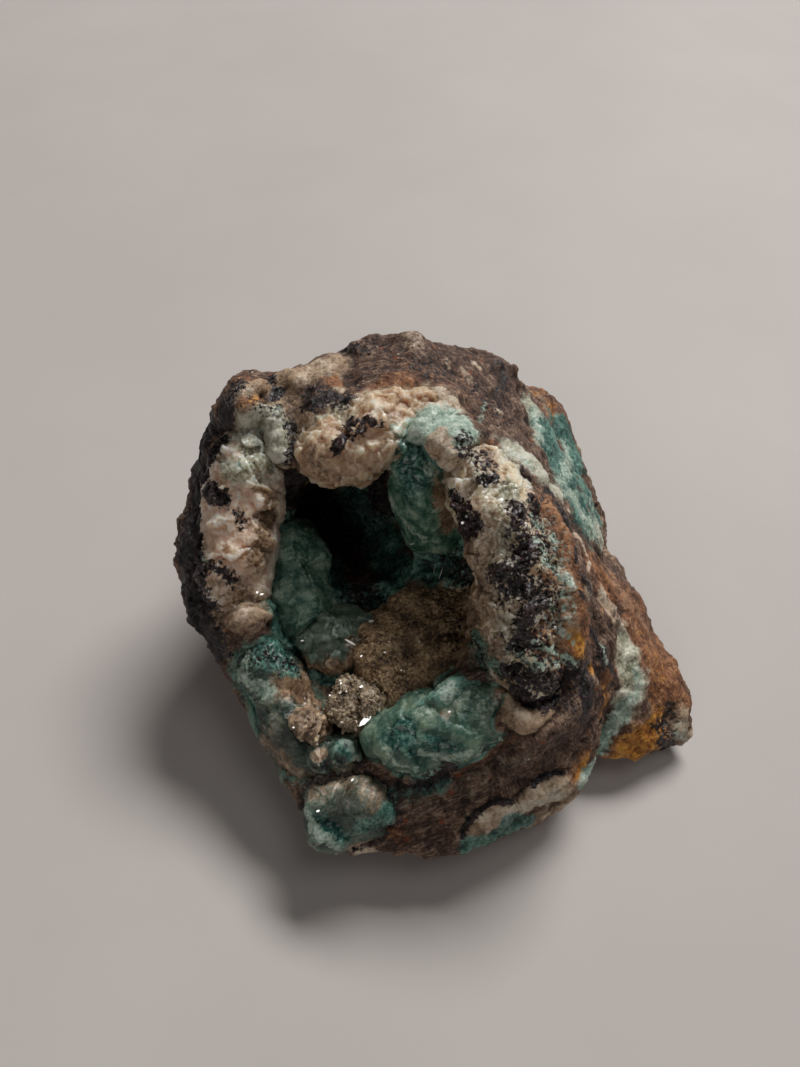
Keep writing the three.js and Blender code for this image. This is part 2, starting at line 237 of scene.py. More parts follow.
    (TEAL, GROWTH): """
    1.2:0.4 -249,60,338 -236,55,335 1.6:0.34 -232,90,346 -221,89,336 3.4:0.8 -23,75,364 -18,56,347
    -26,37,329 3:0.7 -227,-121,184 -215,-140,181 -189,-146,170 1.8:1 -251,-167,134 -241,-186,132
    -235,-206,125 1.6:0.55 -117,-255,157 -106,-261,157 2.4:0.9 -151,-329,113 -138,-343,109 -121,-351,103
    2:0.9 -83,-338,119 -66,-333,119 -54,-326,127 2.8:0.7 -44,-256,193 -31,-252,196 -22,-264,193 2.2:0.6
    -5,-259,201 14,-266,194 29,-271,194 3.4:0.5 53,-149,244 65,-161,240 74,-190,261""",
    (TEAL, ALL): """
    1.3:0.6 8,108,384 27,117,370""",
    (PALE, HOST): """
    0.8:0.6 76,165,339 67,122,354 1:0.5 105,57,353 125,36,354 0.7:0.9 209,-125,230 218,-141,211 228,-156,190
    1.2:0.6 285,-128,133 286,-156,121 275,-174,110 1.7:0.95 268,-175,104 258,-189,90 243,-208,80 234,-223,60
    214,-254,84 204,-272,82 0.7:0.9 331,-154,77 337,-156,75 1.2:0.6 348,-198,54 363,-203,38 374,-203,30
    1.6:0.5 155,210,277 158,145,293 4.4:0.4 241,104,198 254,64,179 2.6:0.5 222,242,161 197,113,256
    179,66,279 3:0.62 200,68,254 218,49,233 233,42,209 0.8:0.6 131,-321,45 98,-334,48 2.2:0.5 0,-175,165
    20,-209,229""",
    (PALE, GROWTH): """
    2.2:0.5 -1,60,380 5,50,342 0.9:0.55 -52,50,269 -33,32,248 -6,10,232 0.8:0.5 -57,77,301 -64,174,107
    -51,112,83 2:0.45 -256,-114,188 -243,-125,180 -244,-147,171 2:0.6 -258,-149,151 -239,-165,161
    -219,-177,162 1.7:0.6 -1,78,379 1,53,376 0,51,344 1.6:0.4 -190,1,220 -174,-6,206 -160,-31,194 1.5:0.6
    -156,-322,114 -143,-347,107 -121,-358,94 3:0.42 -9,-221,213 17,-220,223 51,-218,220 71,-223,213 0.8:0.6
    -14,-270,185 17,-276,178 46,-270,191 0.8:0.6 -56,-264,182 -46,-279,165 -22,-285,168""",
    (PALE, ALL): """
    0.6:0.7 -317,-16,231 -295,-34,249 3.2:1 -21,87,380 0,98,383 23,102,375 44,73,388 0.5:0.9 146,-54,334
    150,-70,331 0.5:0.9 152,-119,314 155,-124,309 0.4:0.9 167,-131,303 169,-140,298 0.4:0.9 131,-148,307
    135,-149,294 0.4:0.9 166,-159,274 169,-169,266 0.4:0.9 142,-188,268 147,-192,265 4:0.36 134,-39,346
    151,-94,320 148,-146,290 136,-190,272 0.8:0.95 120,-42,359 125,-51,350 132,-56,348 0.7:0.95 120,-71,354
    130,-83,346 0.8:0.95 131,-96,345 143,-98,325 156,-102,319 0.6:0.9 158,-101,321 164,-110,318 0.6:0.9
    155,-134,302 159,-145,297 0.5:0.9 132,-137,321 139,-138,310 0.6:0.9 148,-150,287 156,-158,278 1:0.7
    117,-174,288 132,-177,282 149,-175,263 0.9:0.9 159,-178,258 169,-186,252 1.2:0.7 111,-189,271
    124,-200,272 2.4:0.42 96,-180,277 122,-196,273 147,-196,262 0.5:0.7 -41,-282,153 -2,-285,156 30,-279,166
    59,-266,180 84,-252,184""",
    # Dark strokes on the rock. Those down the left side, which faces away from the main lamp, those that follow
    # the carved grooves, and those that run down into the depths of the vug paint shade; the others are dark
    # grains of the rock.
    (DARK, HOST): """
    3.6:1 -320,45,258 -329,8,244 -335,-16,222 -329,-45,206 -314,-81,199 -305,-100,166 -296,-114,147 1.6:0.6
    -185,117,348 -181,97,339 -184,77,325 2.6:0.56 -263,170,391 -257,150,384 -265,142,375 2:0.46 -249,129,384
    -233,127,383 -219,128,374 4:0.7 -313,-68,203 -299,-103,178 -292,-117,147 4.4:0.8 -289,185,331
    -304,149,317 -318,122,294 -324,78,278 -330,49,252 1.2:0.7 -214,170,380 -210,197,350 1.6:0.8 -266,126,377
    -272,115,361 -285,124,328 1.2:1 -204,171,356 -210,138,375 2.6:0.4 -194,129,365 -187,119,353 -179,107,343
    1.7:0.6 -122,261,346 -107,261,354 -86,244,362 6:0.4 -11,216,369 44,188,351 99,161,329 1.6:0.8
    -49,130,379 -33,142,378 -12,147,377 1.6:0.5 107,263,325 116,253,312 103,203,321 0.9:0.8 81,62,366
    102,41,360 121,17,354 144,-11,350 1.2:0.8 147,11,341 160,4,321 167,-10,315 2.6:0.4 164,-219,216
    179,-229,208 208,-214,144 0.5:1 93,-250,197 108,-257,208 122,-255,211 137,-245,217 151,-229,215 1:1
    165,1,317 178,-28,300 178,-85,327 190,-102,300 0.9:1 190,-102,300 215,-120,241 235,-152,193 257,-162,123
    0.6:0.8 174,-118,312 203,-127,228 223,-160,187 2.4:0.5 335,-157,71 336,-170,58 317,-192,69 340,-203,51
    1.6:0.6 322,-204,63 342,-207,31 1.7:0.66 -39,-295,132 -1,-288,140 25,-282,162 5:0.12 -26,-329,105
    24,-311,127 86,-281,151 165,-246,145 0.7:1 39,-345,89 44,-330,100 59,-317,112 79,-309,118 104,-309,119
    120,-298,125 132,-284,122 152,-271,113 171,-269,107 3:0.9 -72,52,347 -73,187,141 -68,170,101 4.4:0.7
    -193,71,287 -186,70,253 -185,148,104 6:0.5 -167,171,111 -119,123,67 -97,-15,112 4:0.5 36,17,171
    58,-28,188 1.8:0.95 -126,-211,118 -112,-226,169 -104,-222,125 1.9:0.95 -99,-264,151 -87,-255,156
    -68,-252,182 -58,-244,189 2.4:0.6 -145,-273,135 -127,-271,137 -102,-271,142 3.6:0.36 51,-147,240
    60,-171,233 70,-189,226 7:0.4 -310,100,80 -240,220,60 6:0.4 350,80,80 330,180,90""",
    # Dark strokes on the growths. The one down the left edge, the one in the groove near y = -14 mm and the one
    # low under the right wall paint shade; the others are dark specks of the mineral.
    (DARK, GROWTH): """
    2:0.9 -314,39,257 -314,2,244 -309,-38,240 -302,-67,217 -294,-92,197 1.7:0.66 -295,-45,251 -278,-49,257
    -264,-53,245 -259,-59,239 1.7:0.55 -294,-71,229 -288,-79,211 -286,-90,198 1.3:0.5 -251,13,291
    -248,-2,286 1.5:0.8 -117,56,373 -112,72,375 -108,91,376 -94,88,387 -79,86,392 -66,77,391 1.4:0.6
    -99,73,377 -87,78,383 3:0.42 -232,-127,179 -215,-142,180 -194,-148,174 -182,-144,160 3.4:0.35 17,-50,173
    37,-87,182 42,-140,198""",
    # Dark strokes on rock and growths alike. Those down the upper left edge and along the carved grooves paint
    # shade; those on the right rim and wall are its dark grains, laid darker and wider so that they also paint
    # the shade on the wall.
    (DARK, ALL): """
    2:0.9 -270,113,360 -291,98,317 -307,72,289 -317,48,263 1.9:0.85 -296,49,302 -283,35,302 -275,29,301
    2.2:0.7 -163,138,364 -139,141,375 -115,137,373 1.6:0.56 -167,160,364 -150,159,373 -134,147,377 2.5:0.5
    41,54,383 51,45,375 62,25,376 2.3:0.8 28,-9,343 39,-32,353 37,-41,332 48,-48,351 1.5:0.66 24,3,343
    36,-8,345 1.2:0.66 61,1,374 81,8,369 2.7:0.66 101,-38,376 104,-69,372 107,-88,349 1.8:0.66 119,-22,364
    126,-32,353 5.2:0.42 118,-34,360 137,-92,338 127,-151,299 119,-192,276 3.2:0.66 79,-108,338 97,-115,335
    113,-131,330 3:0.66 123,-135,323 113,-157,314 105,-172,289 1.7:0.7 90,-125,329 83,-140,317 3.2:0.6
    95,-194,259 115,-209,257 140,-209,251 167,-188,234 188,-181,232 2.4:0.7 182,-191,231 195,-203,216
    192,-217,199 3.4:0.42 94,-171,286 115,-182,281 148,-186,264 1.7:1 101,-212,236 113,-220,231 132,-218,219
    145,-212,217 2:0.5 46,58,383 61,48,372 75,21,372""",
}
STROKES = tuple(
    Stroke(mineral, ground, *stroke)
    for (mineral, ground), table in LAID.items()
    for stroke in read_paths(table)
)
# The reach:push and the path of every carving.
CARVED = """
2.4:-1.8 -188,151,365 -179,120,352 -179,77,349 1.4:-1.2 -200,147,377 -212,135,374 0.8:0.9 83,76,354
104,51,352 124,17,354 149,-17,345 170,-65,333 190,-102,300 217,-121,239 0.8:0.9 217,-121,239 235,-152,193
244,-180,132 1.4:-1.1 188,17,269 191,-87,318 237,-81,210 265,-98,145 2.2:-1.2 240,-36,202 272,-55,146
281,-95,138 1.8:-0.8 267,-111,140 275,-144,128 260,-183,96 233,-220,66 1.9:-0.9 333,-160,64 335,-173,57
2.2:-1.2 107,-214,241 133,-219,246 170,-199,225 1.4:-0.9 35,-15,346 45,-41,357 2.4:0.3 98,66,351 119,47,353
141,29,346 160,43,300 1.6:-1.1 127,253,295 139,231,276 144,169,287 1.6:-0.8 -61,-302,136 -26,-296,135
11,-286,143 55,-274,159 97,-256,180 2.4:0.9 167,-293,102 133,-307,112 94,-325,114 69,-336,104 0.9:-0.8
42,-339,95 47,-327,106 62,-315,114 82,-306,118 105,-306,118 120,-295,125 132,-281,120 152,-271,113
172,-266,106 3:-1.2 -289,185,331 -304,149,317 -318,122,294 -324,78,278 -330,49,252 3:-1.2 -223,226,337
-194,228,343 -165,254,338 -145,264,336 0.7:-0.8 215,-117,242 230,-130,219 241,-150,191 257,-162,123 0.9:-0.9
90,-250,198 109,-257,202 125,-257,208 140,-244,214 154,-226,214 2:-0.9 -233,178,383 -221,180,377
-209,168,378 1.2:-1.3 -215,140,377 -202,143,378 1.8:0.9 348,-187,63 364,-201,47 2:-1.2 -121,-214,117
-102,-238,152 -87,-255,156 1.8:-1 -215,-137,181 -194,-145,174 1.6:-0.8 -115,242,345 -106,174,372 1.4:0.8
-255,170,394 -239,180,385 1.4:0.9 -219,166,380 -202,186,360 -180,187,367 2.6:1.2 -41,267,367 -22,266,372
1.8:-0.9 -107,253,350 -100,230,353 1.6:-0.9 -212,171,379 -207,176,359"""
CARVINGS = tuple(Carving(*carving) for carving in read_paths(CARVED))


# ---- Noise and fields on arrays of points ----


class Noise:
    """Seeded noise in space."""

    CELLS = 256
    GAIN = 1.6  # brings gradient noise to about -1 to 1
    FINER = 2.1  # how much finer each octave is than the last
    DOME_REACH = 0.9  # how far a dome spreads, in cells, squared
    PULLS = ((0.5, 31.7, 7.0), (0.42, -12.9, 3.0))  # the strength, shift and length of each

    def __init__(self, seed: int) -> None:
        """Deal out the slopes and the cell points.

        Args:
            seed: which noise it is.
        """
        dealer = np.random.default_rng(seed)
        self._order = dealer.permutation(self.CELLS)
        slopes = dealer.normal(size=(self.CELLS, 3))
        self._slopes = slopes / np.linalg.norm(slopes, axis=1)[:, None]
        self._seats = dealer.random((self.CELLS, 3))

    def _pick(self, x: np.ndarray, y: np.ndarray, z: np.ndarray) -> np.ndarray:
        """Return the number of each cell."""
        order, last = self._order, self.CELLS - 1
        return order[(order[(order[x & last] + y) & last] + z) & last]

    def _around(self, points: np.ndarray, length: float) -> Iterator[tuple[np.ndarray, ...]]:
        """Visit the cells round each point.

        Args:
            points: where, one row each.
            length: the size of a cell.

        Yields:
            The points and the cells' corners, in cells, and the cells' numbers.
        """
        scaled = points / length
        cell = np.floor(scaled).astype(np.int64)
        for step in np.ndindex(3, 3, 3):
            home = cell + step - 1
            yield scaled, home, self._pick(*home.T)

    def smooth(self, points: np.ndarray, length: float) -> np.ndarray:
        """Gradient noise.

        Args:
            points: where, one row each.
            length: the size of its swells.

        Returns:
            One value a point, about -1 to 1.
        """
        scaled = points / length
        cell = np.floor(scaled).astype(np.int64)
        inside = scaled - cell
        fade = inside**3 * (inside * (inside * 6 - 15) + 10)
        total = np.zeros(len(points))
        for step in np.ndindex(2, 2, 2):
            slope = self._slopes[self._pick(*(cell + step).T)]
            weight = np.prod(np.where(step, fade, 1 - fade), axis=1)
            total += weight * np.einsum("ij,ij->i", slope, inside - step)
        return total * self.GAIN

    def fractal(self, points: np.ndarray, length: float, octaves: int) -> np.ndarray:
        """Smooth noise with finer and finer noise on it, about -1 to 1."""
        shift, fade = 17.3, 0.52
        return sum(
            self.smooth(points + shift * i, length / self.FINER**i) * fade**i for i in range(octaves)
        )

    def waves(self, points: np.ndarray, length: float, octaves: int, tall: float) -> np.ndarray:
        """Fractal noise of a given height."""
        return tall * self.fractal(points, length, octaves)

    def ridged(self, points: np.ndarray, length: float, octaves: int) -> np.ndarray:
        """Noise with sharp crests, 0 to about 1."""
        shift, fade, steepness, highest = 9.1, 0.5, 1.6, 1.5
        crests = [
            (1 - np.abs(self.smooth(points + shift * i, length / self.FINER**i)) * steepness) * fade**i
            for i in range(octaves)
        ]
        return sum(crests) / highest

    def domes(self, points: np.ndarray, length: float) -> np.ndarray:
        """Rounded knobs with creases between them.

        Args:
            points: where, one row each.
            length: the size of a knob.

        Returns:
            One height a point, 0 in the creases and up to 1.
        """
        nearest = np.full(len(points), np.inf)
        for scaled, home, pick in self._around(points, length):
            seat = home + self._seats[pick]
            np.minimum(nearest, ((scaled - seat) ** 2).sum(axis=1), out=nearest)
        return np.clip(1 - nearest / self.DOME_REACH, 0, 1)

    def plates(self, points: np.ndarray, length: float) -> np.ndarray:
        """Flat broken faces that each lean their own way.

        Args:
            points: where, one row each.
            length: the size of a face.

        Returns:
            One height a point, about -1 to 1.
        """
        nearest = np.full(len(points), np.inf)
        height = np.zeros(len(points))
        for scaled, home, pick in self._around(points, length):
            apart = scaled - home - self._seats[pick]
            away = (apart**2).sum(axis=1)
            closer = away < nearest
            nearest[closer] = away[closer]
            lean = np.einsum("ij,ij->i", apart, self._slopes[pick]) * self.GAIN + self._seats[pick, 0] - 0.5
            height[closer] = lean[closer]
        return height

    def broken(self, points: np.ndarray, faces: Sizes) -> np.ndarray:
        """Broken faces of several sizes, each with its height."""
        return sum(tall * self.plates(points, size) for size, tall in faces)

    def drift(self, points: np.ndarray) -> np.ndarray:
        """Return how far the whole nodule is pulled out of shape at each point."""
        pull = [
            sum(much * self.smooth(points + shift * axis, length) for much, shift, length in self.PULLS)
            for axis in (1, 2, 3)
        ]
        return np.stack(pull, axis=1)


DRIFT = Noise(12)


def near_path(points: np.ndarray, path: tuple[Point, ...]) -> np.ndarray:
    """Measure how far points are from a path.

    Args:
        points: where, one row each.
        path: the points that it follows.

    Returns:
        One distance a point.
    """
    stops = np.array(path, float)
    best = np.linalg.norm(points - stops[0], axis=1)
    for start, end in zip(stops[:-1], stops[1:]):
        run = end - start
        along = np.clip((points - start) @ run / max(run @ run, 1e-9), 0, 1)
        np.minimum(best, np.linalg.norm(points - start - along[:, None] * run, axis=1), out=best)
    return best


def falloff(distance: np.ndarray, reach: float) -> np.ndarray:
    """Return 1 on the path, falling smoothly to 0 at the reach."""
    left = np.clip(1 - distance / reach, 0, 1)
    return left * left * (3 - 2 * left)


def grain_along(points: np.ndarray, run: np.ndarray, keep: float) -> np.ndarray:
    """Squeeze space along a direction, so that noise read there becomes fibres.

    Args:
        points: where, one row each.
        run: the fibres' direction, one row or one a point.
        keep: how much of the length is kept along them.

    Returns:
        The squeezed points.
    """
    unit = run / np.linalg.norm(run, axis=-1, keepdims=True)
    along = (points * unit).sum(axis=1, keepdims=True)
    return points - (1 - keep) * along * unit


class MineralMap:
    """Where each mineral lies."""

    RAGGED = ((0.34, 2.4), (0.2, 0.9))  # the strength and length of each noise at a stroke's edge
    MARGIN = 6  # how far from a piece a stroke may start and still count
    SPREAD = 1.35  # how far a stroke runs out, for its reach

    def __init__(self, strokes: tuple[Stroke, ...]) -> None:
        """Keep the strokes.

        Args:
            strokes: every streak and spot on the nodule.
        """
        self.strokes = strokes
        self._noise = Noise(77)

    def weights(self, points: np.ndarray, ground: Ground) -> dict[Mineral, np.ndarray]:
        """Work out how much of each mineral there is at each point.

        Args:
            points: where, one row each.
            ground: which kind of piece they are on.

        Returns:
            For each mineral, one value a point, 0 to 1.
        """
        warp = sum(much * self._noise.smooth(points, length) for much, length in self.RAGGED)
        lowest, highest = points.min(axis=0) - self.MARGIN, points.max(axis=0) + self.MARGIN
        found = {mineral: np.zeros(len(points)) for mineral in Mineral}
        for stroke in self.strokes:
            stops = np.array(stroke.path)
            first, last = stops.min(axis=0), stops.max(axis=0)
            if stroke.ground not in (ground, ALL) or (last < lowest).any() or (first > highest).any():
                continue
            reach = stroke.reach * self.SPREAD
            close = ((points > first - reach) & (points < last + reach)).all(axis=1)
            if close.any():
                away = near_path(points[close], stroke.path) + warp[close] * stroke.reach
                held = found[stroke.mineral]
                held[close] = np.maximum(held[close], stroke.strength * falloff(away, reach))
        return found


# ---- Meshes ----


class Surface:
    """A mesh as arrays, in millimetres, while its relief is worked."""

    FOOT = 4  # the height below which the nodule is pulled less and less out of shape
    SOLE = 2  # the height below which relief gets lower and lower, so that it still rests
    OFF = 0.02  # how far off the surface a look upwards starts
    BEND = (0.5, 2.2)  # how far the fibres bend, and how often
    FIBRE = 0.1  # how much of the length is kept along a fibre
    CRESTS = ((0.4, 2, 4.0), (0.6, 14, 0.8))  # the share, rounds and gain of fine and broad crests

    def __init__(self, node: str, voxel: float, rounds: int) -> None:
        """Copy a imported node, remesh it evenly and smooth its facets away.

        Args:
            node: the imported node.
            voxel: the size of the new mesh's cells.
            rounds: how many rounds of smoothing it gets.
        """
        merged = bmesh.new()
        merged.from_mesh(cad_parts[node].data)
        bmesh.ops.remove_doubles(merged, verts=merged.verts, dist=1e-7)
        self.mesh = bpy.data.meshes.new(f"{node}_rough")
        merged.to_mesh(self.mesh)
        merged.free()
        self.node = node
        self.voxel = voxel
        self.remesh(rounds)
        self.move(DRIFT.drift(self.points) * np.clip(self.points[:, 2:] / self.FOOT, 0, 1))

    def remesh(self, rounds: int) -> None:
        """Make the mesh even again and free of folds.

        Args:
            rounds: how many rounds of smoothing it gets.
        """
        rough = bpy.data.objects.new(f"{self.node}_rough", self.mesh)
        bpy.context.scene.collection.objects.link(rough)
        even = rough.modifiers.new("even", "REMESH")
        even.mode = "VOXEL"
        even.voxel_size = self.voxel * MM
        soften = rough.modifiers.new("soften", "SMOOTH")
        soften.factor = 0.5
        soften.iterations = rounds
        held = bpy.context.evaluated_depsgraph_get()
        self.mesh = bpy.data.meshes.new_from_object(rough.evaluated_get(held))
        bpy.data.objects.remove(rough)
        self.read()

    def read(self) -> None:
        """Take the points and normals from the mesh."""
        flat = np.empty(len(self.mesh.vertices) * 3, np.float32)
        self.mesh.vertices.foreach_get("co", flat)
        self.points = flat.reshape(-1, 3).astype(float) / MM
        self.mesh.vertices.foreach_get("normal", flat)
        self.normals = flat.reshape(-1, 3).astype(float)

    def move(self, steps: np.ndarray) -> None:
        """Move each point by a vector."""
        moved = (self.points + steps) * MM
        self.mesh.vertices.foreach_set("co", moved.astype(np.float32).ravel())
        self.mesh.update()
        self.read()

    def push(self, height: np.ndarray) -> None:
        """Move each point out along its normal."""
        self.move(self.normals * height[:, None])

    def relief(self, height: np.ndarray) -> None:
        """Move each point out along its normal, but less and less towards the table."""
        self.push(height * np.clip(self.points[:, 2] / self.SOLE, 0, 1))

    def crests(self, rounds: int, gain: float) -> np.ndarray:
        """Tell crests from creases.

        Args:
            rounds: how many rounds of averaging with neighbours, so how broad a crest is.
            gain: how fast the answer changes, per millimetre of height.

        Returns:
            One value a point, 0 in a crease, 0.5 on the flat and 1 on a crest.
        """
        edges = np.empty(len(self.mesh.edges) * 2, np.int32)
        self.mesh.edges.foreach_get("vertices", edges)
        first, second = edges.reshape(-1, 2).T
        count = np.bincount(edges, minlength=len(self.points))[:, None]
        even = self.points.copy()
        for _ in range(rounds):
            total = np.stack(
                [
                    np.bincount(first, even[second, axis], len(even))
                    + np.bincount(second, even[first, axis], len(even))
                    for axis in range(3)
                ],
                axis=1,
            )
            even = 0.5 * even + 0.5 * total / np.maximum(count, 1)
        proud = ((self.points - even) * self.normals).sum(axis=1)
        return 0.5 + 0.5 * np.tanh(2 * gain * proud)

    def attribute(self, name: str, values: np.ndarray) -> None:
        """Keep one value, or one vector, a point on the mesh."""
        kind, field = ("FLOAT_VECTOR", "vector") if values.ndim == 2 else ("FLOAT", "value")
        held = self.mesh.attributes.new(name, kind, "POINT")
        held.data.foreach_set(field, values.astype(np.float32).ravel())

    def dress(self, run: np.ndarray, weights: dict[Mineral, np.ndarray], noise: Noise) -> None:
        """Keep what the material reads: the fibres' space, the crests and the minerals.

        Args:
            run: the fibres' direction, one row or one a point.
            weights: how much of each mineral there is, one value a point.
            noise: what bends the fibres.
        """
        far, often = self.BEND
        bent = self.points + far * noise.drift(self.points * often)
        self.attribute("grain", grain_along(bent, run, self.FIBRE) * MM)
        self.attribute("crest", sum(share * self.crests(rounds, gain) for share, rounds, gain in self.CRESTS))
        for mineral, amount in weights.items():
            self.attribute(mineral.value, amount)

    def bare(self, others: list[BVHTree], clear: float) -> np.ndarray:
        """Find which points are out in the open.

        Args:
            others: the surfaces that may cover them.
            clear: how far above a point must be free.

        Returns:
            1 for an open point and 0 for a covered one.
        """
        shown = np.ones(len(self.points))
        starts = self.points + self.normals * self.OFF
        for i, (start, normal) in enumerate(zip(starts, self.normals)):
            origin, along = Vector(start), Vector(normal)
            if any(tree.ray_cast(origin, along, clear)[0] is not None for tree in others):
                shown[i] = 0.0
        return shown

    def tree(self) -> BVHTree:
        """Return a tree of the mesh's faces, in millimetres."""
        faces = [tuple(face.vertices) for face in self.mesh.polygons]
        return BVHTree.FromPolygons([Vector(p) for p in self.points], faces)


def distances(tree: BVHTree, points: np.ndarray, limit: float) -> np.ndarray:
    """Return how far each point is from a surface, up to a limit."""
    found = (tree.find_nearest(Vector(point), limit)[3] for point in points)
    return np.array([limit if away is None else away for away in found])


def settle(
    name: str, mesh: bpy.types.Mesh, material: bpy.types.Material, smooth: bool = True
) -> bpy.types.Object:
    """Make a mesh a piece of the nodule.

    Args:
        name: the piece's name.
        mesh: its mesh, in place.
        material: what covers it.
        smooth: whether its faces run into each other.

    Returns:
        The piece, riding on the nodule.
    """
    mesh.name = name
    mesh.materials.clear()
    mesh.materials.append(material)
    mesh.shade_smooth() if smooth else mesh.shade_flat()
    piece = bpy.data.objects.new(name, mesh)
    bpy.context.scene.collection.objects.link(piece)
    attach(piece, "root")
    LOG.info("%s: %d faces", name, len(mesh.polygons))
    return piece


# ---- Materials ----


def linear(colour: int) -> tuple[float, float, float, float]:
    """Return a hex colour as linear light."""
    parts = [(colour >> shift & 255) / 255 for shift in (16, 8, 0)]
    light = [c / 12.92 if c <= 0.04045 else ((c + 0.055) / 1.055) ** 2.4 for c in parts]
    return (*light, 1.0)


def feed(node: bpy.types.Node, inputs: Inputs) -> None:
    """Set a node's inputs.

    Args:
        node: the node.
        inputs: by name or number, each input's value or the socket that feeds it.
    """
    for name, value in inputs.items():
        if isinstance(value, bpy.types.NodeSocket):
            node.id_data.links.new(value, node.inputs[name])
        else:
            node.inputs[name].default_value = value


def add_node(tree: bpy.types.NodeTree, kind: str, inputs: Inputs, **settings: object) -> bpy.types.Node:
    """Add a node to a tree.

    Args:
        tree: the tree.
        kind: the node's type.
        inputs: by name or number, each input's value or the socket that feeds it.
        settings: the node's own settings.

    Returns:
        The node.
    """
    node = tree.nodes.new(kind)
    for name, value in settings.items():
        setattr(node, name, value)
    feed(node, inputs)
    return node


class Weaver:
    """Builds one material's nodes."""

    ROUGH = 0.62  # how much each finer octave of noise keeps
    TEAR = 0.5  # the size of the bits torn from a spot, for its size, and how far they reach in
    SPOT = (0.62, 0.42)  # where a spot starts and where it is full, from its middle

    def __init__(self, name: str) -> None:
        """Start an empty material with one shader.

        Args:
            name: the material's name.
        """
        self.material = bpy.data.materials.new(name)
        self.material.use_nodes = True
        self.tree = self.material.node_tree
        self.tree.nodes.clear()
        self.shader = self.add("ShaderNodeBsdfPrincipled", {})
        self.add("ShaderNodeOutputMaterial", {"Surface": self.shader.outputs[0]})
        self.here = self.add("ShaderNodeTexCoord", {}).outputs["Object"]

    def add(self, kind: str, inputs: Inputs, **settings: object) -> bpy.types.Node:
        """Add a node to the material."""
        return add_node(self.tree, kind, inputs, **settings)

    def attribute(self, name: str, output: str = "Fac") -> bpy.types.NodeSocket:
        """Read a mesh attribute."""
        return self.add("ShaderNodeAttribute", {}, attribute_name=name).outputs[output]

    def math(self, job: str, *parts: object) -> bpy.types.NodeSocket:
        """Do one sum on numbers or sockets."""
        return self.add("ShaderNodeMath", dict(enumerate(parts)), operation=job).outputs[0]

    def vector(self, job: str, *parts: object, output: str = "Vector") -> bpy.types.NodeSocket:
        """Do one sum on vectors."""
        return self.add("ShaderNodeVectorMath", dict(enumerate(parts)), operation=job).outputs[output]

    def noise(self, length: float, detail: float = 4.0, where: object = None) -> bpy.types.NodeSocket:
        """Fractal noise, 0 to 1, with swells of the given length."""
        inputs = {"Scale": 1 / (length * MM), "Detail": detail, "Roughness": self.ROUGH}
        return self.add("ShaderNodeTexNoise", {"Vector": where or self.here, **inputs}).outputs["Fac"]

    def cells(self, length: float) -> bpy.types.Node:
        """Voronoi cells of the given size."""
        return self.add("ShaderNodeTexVoronoi", {"Vector": self.here, "Scale": 1 / (length * MM)})

    def facets(self, length: float, slope: float) -> bpy.types.NodeSocket:
        """Make small flat crystal faces that each lean their own way.

        Args:
            length: their size, in millimetres.
            slope: how steeply they lean.

        Returns:
            Heights, in metres.
        """
        cell = self.cells(length)
        apart = self.vector("SUBTRACT", self.here, cell.outputs["Position"])
        lean = self.vector("SUBTRACT", cell.outputs["Color"], (0.5, 0.5, 0.5))
        return self.math("MULTIPLY", self.vector("DOT_PRODUCT", apart, lean, output="Value"), slope)

    def rise(self, value: object, low: float, high: float) -> bpy.types.NodeSocket:
        """Rise smoothly from 0 at low to 1 at high."""
        ends = {"Value": value, "From Min": low, "From Max": high}
        return self.add("ShaderNodeMapRange", ends, interpolation_type="SMOOTHSTEP").outputs["Result"]

    def chosen(self, cell: bpy.types.Node, share: float, step: float) -> bpy.types.NodeSocket:
        """Return 1 on a share of the cells and 0 on the others, with a step of in-between ones."""
        return self.rise(cell.outputs["Color"], 1 - step - share, 1 - share)

    def blend(self, amount: object, first: object, second: object) -> bpy.types.NodeSocket:
        """Mix two colours. The mix node's colour inputs are numbers 6 and 7."""
        return self.add("ShaderNodeMix", {"Factor": amount, 6: first, 7: second}, data_type="RGBA").outputs[2]

    def shades(self, value: object, low: float, high: float, colours: tuple[int, ...]) -> bpy.types.NodeSocket:
        """Turn a value into a run of colours.

        Args:
            value: the value.
            low: where the first colour is.
            high: where the last colour is.
            colours: the colours, evenly apart.

        Returns:
            The colour.
        """
        node = self.add("ShaderNodeValToRGB", {0: value})
        stops = node.color_ramp.elements
        stops[0].position, stops[1].position = low, high
        stops[0].color, stops[1].color = linear(colours[0]), linear(colours[-1])
        places = np.linspace(low, high, len(colours)).tolist()
        for place, colour in list(zip(places, colours))[1:-1]:
            stops.new(place).color = linear(colour)
        return node.outputs["Color"]

    def mixed(self, patterns: tuple[object, ...], gains: tuple[float, ...]) -> bpy.types.NodeSocket:
        """Add patterns about their middle, each with its own gain, and return the sum about 0.5."""
        total = 0.5 - 0.5 * sum(gains)
        for pattern, gain in zip(patterns, gains):
            total = self.math("MULTIPLY_ADD", pattern, gain, total)
        return total

    def spots(self, size: float, share: float) -> bpy.types.NodeSocket:
        """Put round, ragged spots on some of the cells of the given size."""
        cell = self.cells(size)
        torn = self.math("MULTIPLY_ADD", self.noise(size * self.TEAR), self.TEAR, cell.outputs["Distance"])
        return self.math("MULTIPLY", self.chosen(cell, share, 0.02), self.rise(torn, *self.SPOT))

    def bump(self, height: object) -> bpy.types.NodeSocket:
        """Return the normal of a bump from heights in metres."""
        whole = {"Strength": 1.0, "Distance": 1.0}
        return self.add("ShaderNodeBump", {"Height": height, **whole}).outputs["Normal"]


